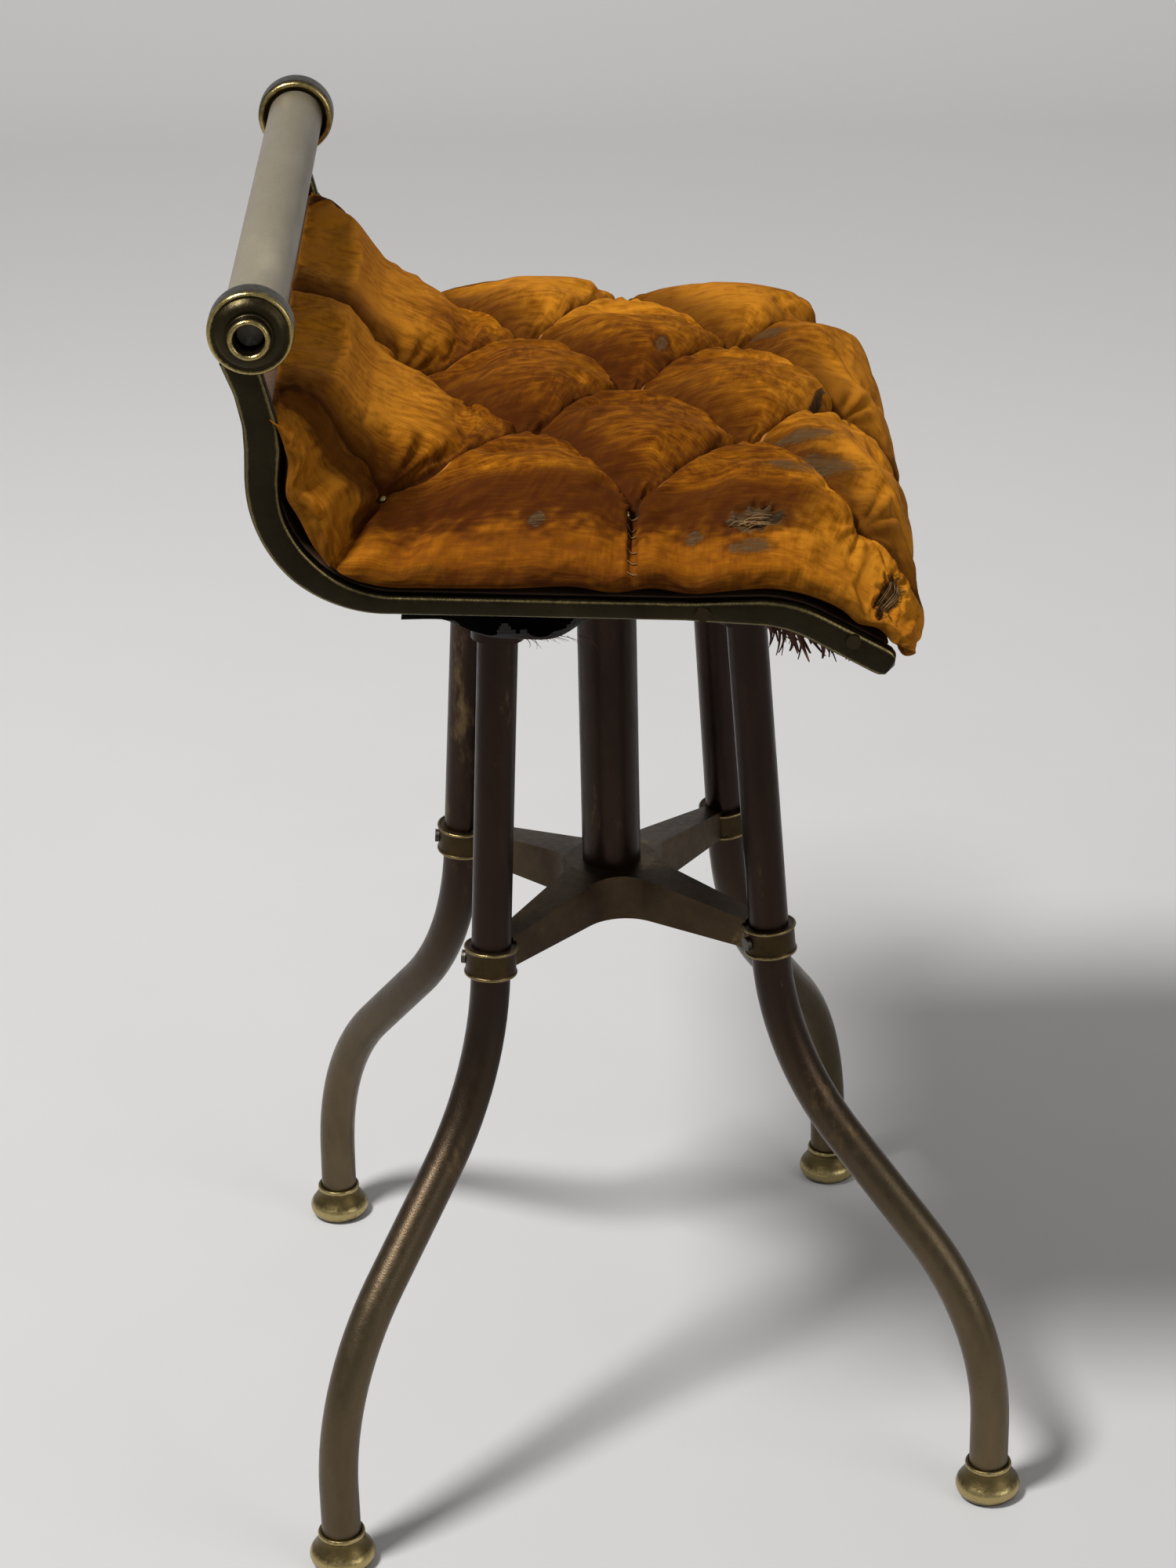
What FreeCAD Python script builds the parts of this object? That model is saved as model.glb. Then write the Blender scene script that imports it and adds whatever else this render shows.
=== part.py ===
import FreeCAD, Part
import Sketcher
import math
import os
from FreeCAD import Placement, Rotation, Vector

# Music stool: a bent tube base with a screw column, carrying a buttoned seat between two cast side rails.
# The front of the seat looks along +X, the floor is z = 0 and the screw turns about the Z axis.

doc = FreeCAD.newDocument("music_stool")
sheet = doc.addObject("Spreadsheet::Sheet", "sizes")

# Driving sizes, in millimetres and degrees
SIZES = {
    # base legs
    "tube_dia": 20.6,
    "leg_splay": 4.6,
    "leg_kick": 45,
    "kick_radius": 155,
    "return_radius": 146,
    "bend_drop": 9,
    "foot_reach": 237.5,
    "leg_top_height": 491,
    "base_yaw": 6.8,
    "swing_front_right": 6.7,
    "swing_front_left": 10.5,
    "swing_rear_left": -13.8,
    "swing_rear_right": -2.0,
    # feet
    "cap_dia": 34.5,
    "cap_lower_bevel": 4,
    "cap_shoulder_height": 10,
    "cap_neck_height": 16,
    "cap_height": 20,
    "cap_neck_dia": 23.6,
    "cap_floor": 5,
    # stretcher casting
    "collar_reach": 103.3,
    "collar_height": 301,
    "collar_dia": 26,
    "collar_tall": 15,
    "hub_rise": 17,
    "hub_depth": 25,
    "arm_width": 12,
    "arm_taper": 0.07,
    "arm_depth": 15,
    "hub_fillet": 24,
    "spigot_length": 9,
    "hub_screw_dia": 8,
    "hub_screw_head_dia": 16,
    "hub_screw_head": 5,
    "column_plug_length": 18,
    # column and screw
    "column_dia": 31,
    "column_wall": 2,
    "column_drop": 10,
    "screw_dia": 19,
    "screw_end_room": 34,
    "stop_thick": 6,
    "stop_spigot_dia": 10,
    "bush_length": 28,
    "stop_nut_dia": 18,
    "stop_nut": 8,
    "bush_flange_dia": 44,
    "bush_flange": 4,
    # top casting that holds the legs and the column
    "spider_thick": 8,
    "socket_roof": 6,
    "spider_arm_width": 20,
    "spider_hub_dia": 48,
    "spider_hub_depth": 26,
    "socket_dia": 27,
    "socket_depth": 20,
    # seat frame
    "flange_dia": 118,
    "flange_thick": 6,
    "flange_boss_dia": 38,
    "seat_clearance": 23,
    "seat_width": 365,
    "rail_thick": 9,
    "slat_thick": 8,
    # side rails
    "boss_back": 159.6,
    "boss_rise": 136.1,
    "boss_dia": 39.9,
    "boss_proud": 3.5,
    "eye_dia": 19.2,
    "eye_bore": 14,
    "eye_proud": 13,
    "arm_back": 159,
    "rear_bend": 60,
    "strap_fall": 2.8,
    "strap_front": 70,
    "strap_height": 9.3,
    "rail_arm_width": 15,
    "neck_width": 9.6,
    "front_bend": 60,
    "front_dip": 30,
    "lip_length": 36,
    "lip_height": 14.5,
    "rim_bevel": 1.4,
    "boss_dish": 1.4,
    "back_board_rise": 32.5,
    "strap_rise": 21.6,
    # grab rail
    "grab_dia": 28.5,
    "grab_wall": 1.5,
    "grab_plug_length": 22,
    "end_screw_dia": 6,
    "end_head_dia": 12,
    # cushion
    "cushion_crown": 49.5,
    "cushion_overhang": 1.5,
    "cushion_rim": 3,
    "cushion_gap": 1.3,
    "nose_wrap": 95,
    "tuft_pitch": 62.5,
    "tuft_depth": 24,
    "lining_thick": 2,
    "lining_sag": 12,
    # fasteners and fits
    "small_screw_dia": 3.5,
    "small_head_dia": 7,
    "small_screw_length": 12,
    "small_head": 2.2,
    "flush_head_dia": 6.4,
    "wood_screw_length": 14,
    "rail_screw_rear": 44,
    "rail_screw_front": 113,
    "tack_dia": 7,
    "tack_head": 1.6,
    "tack_shank": 1.8,
    "close_fit": 0.1,
    "running_fit": 0.08,
    "clear_gap": 0.3,
}
# Sizes that follow from others: the castings, the column and the seat go up and down together, the screw
# travels as far as the column leaves room for, and the cushion is a little wider than the seat frame
TIED_SIZES = {
    "hub_top": "=collar_height + hub_rise",
    "spider_top": "=leg_top_height + socket_roof",
    "column_top": "=spider_top - column_drop",
    "flange_under": "=spider_top + seat_clearance",
    "strap_rear_height": "=flange_under + strap_rise",
    "boss_height": "=strap_rear_height + boss_rise",
    "plug_top": "=hub_top + spigot_length + column_plug_length",
    "seat_travel": "=spider_top - bush_length - plug_top - screw_end_room",
    "cushion_width": "=seat_width + 2 * cushion_overhang",
}
for row, (alias, value) in enumerate({**SIZES, **TIED_SIZES}.items(), start=1):
    sheet.set(f"A{row}", alias.replace("_", " "))
    sheet.set(f"B{row}", str(value))
    sheet.setAlias(f"B{row}", alias)
doc.recompute()

UP = Vector(0, 0, 1)
ORIGIN = Vector(0, 0, 0)
TO_THE_RIGHT = Rotation(Vector(1, 0, 0), 90)
TO_THE_LEFT = Rotation(Vector(1, 0, 0), -90)
DOWNWARDS = Rotation(Vector(1, 0, 0), 180)


def size(alias):
    return float(sheet.get(alias))


# Helpers for bodies, sketches and expressions
def value_of(expression):
    return float(sheet.evalExpression(expression))


def new_body(label):
    body = doc.addObject("PartDesign::Body", label)
    body.Label = label
    return body


def new_sketch(body, name, role):
    sketch = body.newObject("Sketcher::SketchObject", name)
    planes = [feature for feature in body.Origin.OriginFeatures if feature.Role == role]
    sketch.AttachmentSupport = [(planes[0], "")]
    sketch.MapMode = "FlatFace"
    return sketch


def dimension(sketch, kind, expression, *where):
    index = sketch.addConstraint(Sketcher.Constraint(kind, *where))
    sketch.setExpression(f"Constraints[{index}]", expression)


def pin_point(sketch, index, end, x_rule, y_rule):
    for kind, rule, axis in (("DistanceX", x_rule, -2), ("DistanceY", y_rule, -1)):
        if rule == "0":
            sketch.addConstraint(Sketcher.Constraint("PointOnObject", index, end, axis))
        else:
            dimension(sketch, kind, rule, -1, 1, index, end, value_of(rule))


def add_circle(sketch, dia_rule, x_rule="0", y_rule="0"):
    centre = Vector(value_of(x_rule), value_of(y_rule), 0)
    index = sketch.addGeometry(Part.Circle(centre, UP, value_of(dia_rule) / 2), False)
    pin_point(sketch, index, 3, x_rule, y_rule)
    dimension(sketch, "Diameter", dia_rule, index, value_of(dia_rule))


# A closed outline: each row is a corner, and a row that starts with "via" bends the edge there into an arc
def add_outline(sketch, rows):
    corners = [row for row in rows if row[0] != "via"]
    spots = [Vector(value_of(x), value_of(y), 0) for x, y in corners]
    ends = []
    number = -1
    for place, row in enumerate(rows):
        if row[0] == "via":
            continue
        number += 1
        start = spots[number]
        finish = spots[(number + 1) % len(spots)]
        following = rows[(place + 1) % len(rows)]
        if following[0] == "via":
            middle = Vector(value_of(following[1]), value_of(following[2]), 0)
            index = sketch.addGeometry(Part.Arc(start, middle, finish), False)
            guide = sketch.addGeometry(Part.Point(middle), True)
            pin_point(sketch, guide, 1, following[1], following[2])
            sketch.addConstraint(Sketcher.Constraint("PointOnObject", guide, 1, index))
        else:
            index = sketch.addGeometry(Part.LineSegment(start, finish), False)
        first = 1 if sketch.getPoint(index, 1).distanceToPoint(start) < 1e-6 else 2
        ends.append((index, first, 3 - first))
    for number, (index, first, last) in enumerate(ends):
        after = ends[(number + 1) % len(ends)]
        sketch.addConstraint(Sketcher.Constraint("Coincident", index, last, after[0], after[1]))
        pin_point(sketch, index, first, *corners[number])


# A turned piece: an outline of radius and height, spun about the Z axis
def turned(label, rows):
    body = new_body(label)
    sketch = new_sketch(body, label + "_profile", "XZ_Plane")
    add_outline(sketch, rows)
    spin = body.newObject("PartDesign::Revolution", label + "_turned")
    spin.Profile = sketch
    spin.ReferenceAxis = (sketch, ["V_Axis"])
    spin.Angle = 360
    doc.recompute()
    return body


# A flat piece: an outline or circles on a base plane, padded to a thickness
def padded(body, name, role, draw, length_rule, start_rule="0"):
    sketch = new_sketch(body, name + "_outline", role)
    sketch.setExpression("AttachmentOffset.Base.z", start_rule)
    draw(sketch)
    pad = body.newObject("PartDesign::Pad", name)
    pad.Profile = sketch
    pad.setExpression("Length", length_rule)
    doc.recompute()
    return pad


def round_edges(body, name, radius_rule, wanted):
    base = body.Tip
    names = [f"Edge{n}" for n, edge in enumerate(base.Shape.Edges, start=1) if wanted(edge)]
    fillet = body.newObject("PartDesign::Fillet", name)
    fillet.Base = (base, names)
    fillet.setExpression("Radius", radius_rule)
    doc.recompute()
    return fillet


def joined(label, kind, pieces):
    result = doc.addObject("Part::MultiFuse" if kind == "fuse" else "Part::MultiCommon", label)
    result.Shapes = pieces
    doc.recompute()
    return result


def cut_by(label, base, tool):
    result = doc.addObject("Part::Cut", label)
    result.Base = base
    result.Tool = tool
    doc.recompute()
    return result


def solid_feature(label, shape):
    feature = doc.addObject("Part::Feature", label)
    feature.Shape = shape
    return feature


# Several alike pieces in one node: copies of one body's solid at the given placements
def group(label, source, placements):
    copies = []
    for placement in placements:
        copy = source.Shape.copy()
        copy.Placement = placement.multiply(copy.Placement)
        copies.append(copy)
    return solid_feature(label, Part.makeCompound(copies))


# A plain cylinder whose Z axis starts at the placement
def cylinder(label, dia_rule, height_rule, place):
    item = doc.addObject("Part::Cylinder", label)
    item.setExpression("Radius", f"({dia_rule}) / 2")
    item.setExpression("Height", height_rule)
    item.Placement = place
    doc.recompute()
    return item


nodes = {}


def keep(label, item):
    item.Label = label
    nodes[label] = item
    return item


# Where the four legs stand: azimuth about the column, the turn of each bent tube in its sockets, and the
# way that its screws face
LEGS = {
    "front_right": (-45, "swing_front_right", 209),
    "front_left": (45, "swing_front_left", 172),
    "rear_left": (135, "swing_rear_left", 180),
    "rear_right": (-135, "swing_rear_right", 171),
}
SPLAY_AXIS = Vector(-math.sin(math.radians(size("leg_splay"))), 0, math.cos(math.radians(size("leg_splay"))))


# The frame of a leg: origin at its collar, +X away from the column
def leg_frame(name):
    azimuth = LEGS[name][0] + size("base_yaw")
    outward = Placement(ORIGIN, Rotation(UP, azimuth))
    return outward.multiply(Placement(Vector(size("collar_reach"), 0, size("collar_height")), Rotation()))


# The same frame turned about the leg's own upper run by the leg's swing
def swung_frame(name):
    return leg_frame(name).multiply(Placement(ORIGIN, Rotation(SPLAY_AXIS, size(LEGS[name][1]))))


# The frame whose Z axis is the leg's upper run
def run_frame(name):
    return leg_frame(name).multiply(Placement(ORIGIN, Rotation(Vector(0, 1, 0), -size("leg_splay"))))


# Leg tube: one sketch of three runs and two bends, with a ring swept along it
def leg_tube(name):
    body = new_body("leg_tube_" + name)
    route = new_sketch(body, "route_" + name, "XZ_Plane")
    splay = math.radians(size("leg_splay"))
    kick = math.radians(size("leg_kick"))
    rise = size("leg_top_height") - size("collar_height")
    drop = size("bend_drop")
    kick_radius = size("kick_radius")
    return_radius = size("return_radius")
    reach = size("foot_reach") - size("collar_reach")
    normal = {angle: Vector(math.cos(angle), math.sin(angle), 0) for angle in (splay, kick)}
    top = Vector(-rise * math.tan(splay), rise, 0)
    bend_start = Vector(drop * math.tan(splay), -drop, 0)
    kick_centre = bend_start + normal[splay] * kick_radius
    slant_start = kick_centre - normal[kick] * kick_radius
    slant_run = reach - return_radius * (1 - math.cos(kick)) - slant_start.x
    slant_end = slant_start + Vector(slant_run, -slant_run / math.tan(kick), 0)
    return_centre = slant_end - normal[kick] * return_radius
    foot_start = return_centre + Vector(return_radius, 0, 0)
    foot = Vector(reach, size("cap_floor") - size("collar_height"), 0)
    kick_circle = Part.Circle(kick_centre, UP, kick_radius)
    return_circle = Part.Circle(return_centre, UP, return_radius)
    route.addGeometry(
        [
            Part.LineSegment(top, bend_start),
            Part.ArcOfCircle(kick_circle, math.pi + splay, math.pi + kick),
            Part.LineSegment(slant_start, slant_end),
            Part.ArcOfCircle(return_circle, 0, kick),
            Part.LineSegment(foot_start, foot),
        ],
        False,
    )
    for where in ((0, 2, 1, 1), (1, 2, 2, 1), (2, 2, 3, 2), (3, 1, 4, 1)):
        route.addConstraint(Sketcher.Constraint("Tangent", *where))
    route.addConstraint(Sketcher.Constraint("Vertical", 4))
    rise_rule = "(sizes.leg_top_height - sizes.collar_height)"
    pin_point(route, 0, 1, f"-{rise_rule} * tan(sizes.leg_splay)", rise_rule)
    pin_point(route, 0, 2, "sizes.bend_drop * tan(sizes.leg_splay)", "-sizes.bend_drop")
    dimension(route, "Radius", "sizes.kick_radius", 1, kick_radius)
    dimension(route, "Radius", "sizes.return_radius", 3, return_radius)
    dimension(route, "Angle", "(sizes.leg_kick - 90) * 1 deg", 2, kick - math.pi / 2)
    pin_point(route, 4, 2, "sizes.foot_reach - sizes.collar_reach", "sizes.cap_floor - sizes.collar_height")
    doc.recompute()
    ring = body.newObject("Sketcher::SketchObject", "ring_" + name)
    ring.AttachmentSupport = [(route, "Edge1")]
    ring.MapMode = "NormalToEdge"
    ring.MapPathParameter = 0.0
    add_circle(ring, "sizes.tube_dia")
    pipe = body.newObject("PartDesign::AdditivePipe", "bent_" + name)
    pipe.Profile = ring
    pipe.Spine = (route, [])
    body.Placement = swung_frame(name)
    doc.recompute()
    return body


for name in LEGS:
    keep("leg_tube_" + name, leg_tube(name))


# Foot caps: turned brass buns that stand upright, each bored along the foot of its tube
foot_bun = turned(
    "foot_bun",
    [
        ("0", "0"),
        ("sizes.cap_dia / 2 - sizes.cap_lower_bevel", "0"),
        ("sizes.cap_dia / 2", "sizes.cap_lower_bevel"),
        ("sizes.cap_dia / 2", "sizes.cap_shoulder_height"),
        ("sizes.cap_neck_dia / 2", "sizes.cap_neck_height"),
        ("sizes.cap_neck_dia / 2", "sizes.cap_height"),
        ("0", "sizes.cap_height"),
    ],
)
cap_seat = Vector(size("foot_reach") - size("collar_reach"), 0, -size("collar_height"))
foot_frames = [swung_frame(name).multiply(Placement(cap_seat, Rotation())) for name in LEGS]
bun_places = [Placement(Vector(frame.Base.x, frame.Base.y, 0), Rotation()) for frame in foot_frames]
bore_start = Placement(Vector(0, 0, size("cap_floor") - size("close_fit")), Rotation())
foot_bore = cylinder("foot_bore", "sizes.tube_dia + 2 * sizes.close_fit", "sizes.cap_height", bore_start)
foot_bores = group("foot_bores", foot_bore, foot_frames)
keep("foot_caps", cut_by("foot_caps", group("foot_buns", foot_bun, bun_places), foot_bores))


# Outline of a four-armed casting: flat arm ends joined by corners that are filleted afterwards
def draw_star(end_rule, half_rule, taper_rule):
    corner_rule = f"({half_rule} + ({end_rule}) * {taper_rule}) / (1 + {taper_rule})"
    ahead = [
        (end_rule, f"-({half_rule})"),
        (end_rule, half_rule),
        (corner_rule, corner_rule),
    ]
    rows = []
    for turn in range(4):
        for x, y in ahead:
            for quarter in range(turn):
                x, y = f"-({y})", x
            rows.append((x, y))
    return lambda sketch: add_outline(sketch, rows)


def upright_at(radius_low, radius_high):
    def wanted(edge):
        first, last = edge.Vertexes[0].Point, edge.Vertexes[-1].Point
        level = math.hypot(first.x, first.y)
        upright = math.hypot(first.x - last.x, first.y - last.y) < 1e-6 and abs(first.z - last.z) > 1
        return upright and radius_low < level < radius_high

    return wanted


def at_height(height):
    return Placement(Vector(0, 0, height), Rotation())


# A screw with a round head: its shank points down from a seat at z = 0
def round_screw(label, shank_rule, length_rule, head_rule, rise_rule):
    return turned(
        label,
        [
            ("0", f"-({length_rule})"),
            (f"{shank_rule} / 2", f"-({length_rule})"),
            (f"{shank_rule} / 2", "0"),
            (f"{head_rule} / 2", "0"),
            (f"{head_rule} / 2", rise_rule),
            ("0", rise_rule),
        ],
    )


def small_screw(label, length_rule):
    return round_screw(
        label, "sizes.small_screw_dia", length_rule, "sizes.small_head_dia", "sizes.small_head"
    )


# Cross stretcher: a star casting whose arms thin towards four ring collars
half_arm = "sizes.arm_width / 2"
arm_end = "sizes.collar_reach - sizes.tube_dia / 2 - 1"
star = new_body("stretcher_star")
padded(star, "stretcher_pad", "XY_Plane", draw_star(arm_end, half_arm, "sizes.arm_taper"), "sizes.hub_depth")
round_edges(star, "stretcher_webs", "sizes.hub_fillet", upright_at(0, size("collar_reach") / 2))
arm_turn = Rotation(UP, LEGS["front_left"][0] + size("base_yaw"))
star.Placement = Placement(Vector(0, 0, size("hub_top") - size("hub_depth")), arm_turn)
arm_base = "sizes.collar_height - sizes.arm_depth / 2"
thinning = turned(
    "stretcher_thinning",
    [
        ("0", "sizes.hub_top - sizes.hub_depth"),
        ("sizes.column_dia * 0.7", "sizes.hub_top - sizes.hub_depth"),
        ("sizes.collar_reach", arm_base),
        ("sizes.collar_reach", "sizes.collar_height + sizes.arm_depth / 2"),
        ("sizes.column_dia * 0.75", "sizes.hub_top"),
        ("0", "sizes.hub_top"),
    ],
)
arms = joined("stretcher_arms", "common", [star, thinning])


# A screw's own place on a leg: seat on the outer face of a ring round the tube, looking away from the leg
def ring_screw_place(name, ring_dia, along):
    around = Placement(ORIGIN, Rotation(UP, LEGS[name][2] - LEGS[name][0] - size("base_yaw")))
    outward = Placement(ORIGIN, Rotation(Vector(0, 1, 0), 90))
    return run_frame(name).multiply(at_height(along)).multiply(around).multiply(outward).multiply(
        at_height(ring_dia / 2)
    )


collar_screw = small_screw("collar_screw", "(sizes.collar_dia - sizes.tube_dia) / 2")
collar_screw_places = [ring_screw_place(name, size("collar_dia"), 0) for name in LEGS]
screw_hole = cylinder(
    "screw_hole",
    "sizes.small_screw_dia + 2 * sizes.close_fit",
    "sizes.small_screw_length + sizes.close_fit",
    at_height(0),
)
screw_hole.Placement = Placement(Vector(0, 0, -screw_hole.Height.Value), Rotation())
collar_screw_holes = group("collar_screw_holes", screw_hole, collar_screw_places)
rings = []
leg_bores = []
for name in LEGS:
    ring_place = run_frame(name).multiply(at_height(-size("collar_tall") / 2))
    rings.append(cylinder("ring_" + name + "_collar", "sizes.collar_dia", "sizes.collar_tall", ring_place))
    low = at_height(-size("collar_tall"))
    leg_bores.append(
        cylinder(
            "bore_" + name,
            "sizes.tube_dia + 2 * sizes.close_fit",
            "2 * sizes.collar_tall",
            run_frame(name).multiply(low),
        )
    )
column_inner = "sizes.column_dia - 2 * sizes.column_wall"
in_column = f"{column_inner} - 2 * sizes.close_fit"
spigot = cylinder("stretcher_spigot", in_column, "sizes.spigot_length", at_height(size("hub_top")))
hub_bore = cylinder(
    "hub_screw_bore",
    "sizes.hub_screw_dia + 2 * sizes.close_fit",
    "sizes.hub_depth + sizes.spigot_length",
    at_height(size("hub_top") - size("hub_depth")),
)
casting = joined("stretcher_casting", "fuse", [arms, spigot] + rings)
stretcher_holes = joined("stretcher_holes", "fuse", [hub_bore] + leg_bores)
bored_casting = cut_by("stretcher_bored", casting, stretcher_holes)
keep("cross_stretcher", cut_by("cross_stretcher", bored_casting, collar_screw_holes))

# Column: a round tube on the stretcher's spigot, held by a plug and one screw from below
column = new_body("column_tube")


def draw_column(sketch):
    add_circle(sketch, "sizes.column_dia")
    add_circle(sketch, column_inner)


padded(column, "column_wall_pad", "XY_Plane", draw_column, "sizes.column_top - sizes.hub_top")
column.Placement = at_height(size("hub_top"))
keep("column_tube", column)

plug_base = size("hub_top") + size("spigot_length") + size("close_fit")
plug = cylinder("plug_blank", in_column, "sizes.column_plug_length", at_height(plug_base))
plug_bore = cylinder(
    "plug_bore",
    "sizes.hub_screw_dia + 2 * sizes.close_fit",
    "sizes.column_plug_length",
    at_height(plug_base),
)
keep("column_plug", cut_by("column_plug", plug, plug_bore))
hub_screw = round_screw(
    "hub_screw",
    "sizes.hub_screw_dia",
    "sizes.hub_depth + sizes.spigot_length + sizes.column_plug_length",
    "sizes.hub_screw_head_dia",
    "sizes.hub_screw_head",
)
hub_screw.Placement = Placement(Vector(0, 0, size("hub_top") - size("hub_depth")), DOWNWARDS)
keep("hub_screw", hub_screw)

# Top spider: a casting with a socket on each leg, bored for the column and for the screw bush
socket_top = size("leg_top_height") - size("collar_height")
socket_along = socket_top / math.cos(math.radians(size("leg_splay")))
spider_arms = new_body("spider_arms")
spider_reach = "sizes.collar_reach - (sizes.leg_top_height - sizes.collar_height) * tan(sizes.leg_splay)"
padded(
    spider_arms,
    "spider_star",
    "XY_Plane",
    draw_star(f"{spider_reach} - sizes.tube_dia / 4", "sizes.spider_arm_width / 2", "sizes.arm_taper"),
    "sizes.spider_thick",
)
round_edges(spider_arms, "spider_webs", "sizes.hub_fillet", upright_at(0, size("spider_hub_dia")))
spider_arms.Placement = Placement(Vector(0, 0, size("spider_top") - size("spider_thick")), arm_turn)
spider_hub = cylinder(
    "spider_hub",
    "sizes.spider_hub_dia",
    "sizes.spider_hub_depth",
    at_height(size("spider_top") - size("spider_hub_depth")),
)
roof = size("spider_top") - size("leg_top_height")
sockets = []
socket_bores = []
for name in LEGS:
    low = at_height(socket_along + roof - size("socket_depth"))
    sockets.append(
        cylinder("socket_" + name, "sizes.socket_dia", "sizes.socket_depth", run_frame(name).multiply(low))
    )
    low = at_height(socket_along - size("socket_depth") * 2 + size("close_fit"))
    socket_bores.append(
        cylinder(
            "socket_bore_" + name,
            "sizes.tube_dia + 2 * sizes.close_fit",
            "2 * sizes.socket_depth",
            run_frame(name).multiply(low),
        )
    )
column_bore = cylinder(
    "spider_column_bore",
    "sizes.column_dia + 2 * sizes.close_fit",
    "sizes.column_top - sizes.spider_top + sizes.spider_hub_depth + sizes.close_fit",
    at_height(size("spider_top") - size("spider_hub_depth")),
)
bush_bore = cylinder("spider_bush_bore", column_inner, "sizes.spider_hub_depth", column_bore.Placement)
socket_screw = small_screw("socket_screw", "(sizes.socket_dia - sizes.tube_dia) / 2")
socket_mid = socket_along + roof - size("socket_depth") * 0.65
socket_screw_places = [ring_screw_place(name, size("socket_dia"), socket_mid) for name in LEGS]
socket_screw_holes = group("socket_screw_holes", screw_hole, socket_screw_places)

# Screw bush: the threaded brass bush in the top of the column, with its flange on the spider
bush_outer = f"({column_inner}) / 2 - sizes.close_fit"
bush_hole = "sizes.screw_dia / 2 + sizes.running_fit"
bush_base = "sizes.spider_top - sizes.bush_length"
bush_top = "sizes.spider_top + sizes.bush_flange"
bush = turned(
    "bush_blank",
    [
        (bush_hole, bush_base),
        (bush_outer, bush_base),
        (bush_outer, "sizes.spider_top"),
        ("sizes.bush_flange_dia / 2", "sizes.spider_top"),
        ("sizes.bush_flange_dia / 2", bush_top),
        (bush_hole, bush_top),
    ],
)


# A flush screw: its head lies level with z = 0 in a counterbore, which is wider by the fit
def flush_screw(label, extra_rule):
    return turned(
        label,
        [
            ("0", f"-sizes.small_screw_length - {extra_rule}"),
            (f"sizes.small_screw_dia / 2 + {extra_rule}", f"-sizes.small_screw_length - {extra_rule}"),
            (f"sizes.small_screw_dia / 2 + {extra_rule}", "-sizes.small_head"),
            (f"sizes.flush_head_dia / 2 + {extra_rule}", "-sizes.small_head"),
            (f"sizes.flush_head_dia / 2 + {extra_rule}", "0"),
            ("0", "0"),
        ],
    )


bush_screw = flush_screw("bush_screw", "0")
bush_screw_hole = flush_screw("bush_screw_hole", "sizes.close_fit")
bush_circle = (size("bush_flange_dia") - size("flush_head_dia")) / 2 - 0.4
bush_screw_places = []
for turn in (15, 135, 255):
    arm = Placement(ORIGIN, Rotation(UP, turn))
    bush_screw_places.append(arm.multiply(Placement(Vector(bush_circle, 0, value_of(bush_top)), Rotation())))
bush_screw_holes = group("bush_screw_holes", bush_screw_hole, bush_screw_places)
keep("screw_bush", cut_by("screw_bush", bush, bush_screw_holes))
keep("bush_screws", group("bush_screws", bush_screw, bush_screw_places))

spider_casting = joined("spider_casting", "fuse", [spider_arms, spider_hub] + sockets)
spider_bores = joined("spider_bores", "fuse", [column_bore, bush_bore] + socket_bores)
spider_bored = cut_by("spider_bored", spider_casting, spider_bores)
spider_drilled = cut_by("spider_drilled", spider_bored, socket_screw_holes)
keep("top_spider", cut_by("top_spider", spider_drilled, bush_screw_holes))
keep("collar_screws", group("collar_screws", collar_screw, collar_screw_places))
keep("socket_screws", group("socket_screws", socket_screw, socket_screw_places))

# Height screw: it ends in a spigot that carries the stop washer between a shoulder and a nut
shoulder = "sizes.spider_top - sizes.bush_length - sizes.seat_travel - sizes.clear_gap"
washer_top = f"{shoulder} - sizes.running_fit"
nut_top = f"{washer_top} - sizes.stop_thick - sizes.running_fit"
flange_top = "sizes.flange_under + sizes.flange_thick"
screw_end = f"{nut_top} - sizes.stop_nut - sizes.stop_spigot_dia * 0.2"
keep(
    "height_screw",
    turned(
        "height_screw",
        [
            ("0", screw_end),
            ("sizes.stop_spigot_dia / 2", screw_end),
            ("sizes.stop_spigot_dia / 2", shoulder),
            ("sizes.screw_dia / 2", shoulder),
            ("sizes.screw_dia / 2", flange_top),
            ("0", flange_top),
        ],
    ),
)
keep(
    "stop_washer",
    turned(
        "stop_washer",
        [
            ("sizes.stop_spigot_dia / 2 + sizes.running_fit", f"{washer_top} - sizes.stop_thick"),
            (f"({column_inner}) / 2 - sizes.running_fit", f"{washer_top} - sizes.stop_thick"),
            (f"({column_inner}) / 2 - sizes.running_fit", washer_top),
            ("sizes.stop_spigot_dia / 2 + sizes.running_fit", washer_top),
        ],
    ),
)
nut_blank = doc.addObject("Part::Prism", "nut_blank")
nut_blank.Polygon = 6
nut_blank.setExpression("Circumradius", "sizes.stop_nut_dia / 2")
nut_blank.setExpression("Height", "sizes.stop_nut")
nut_blank.Placement = at_height(value_of(f"{nut_top} - sizes.stop_nut"))
nut_bore = cylinder(
    "nut_bore", "sizes.stop_spigot_dia + 2 * sizes.close_fit", "sizes.stop_nut", nut_blank.Placement
)
keep("stop_nut", cut_by("stop_nut", nut_blank, nut_bore))

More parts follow.
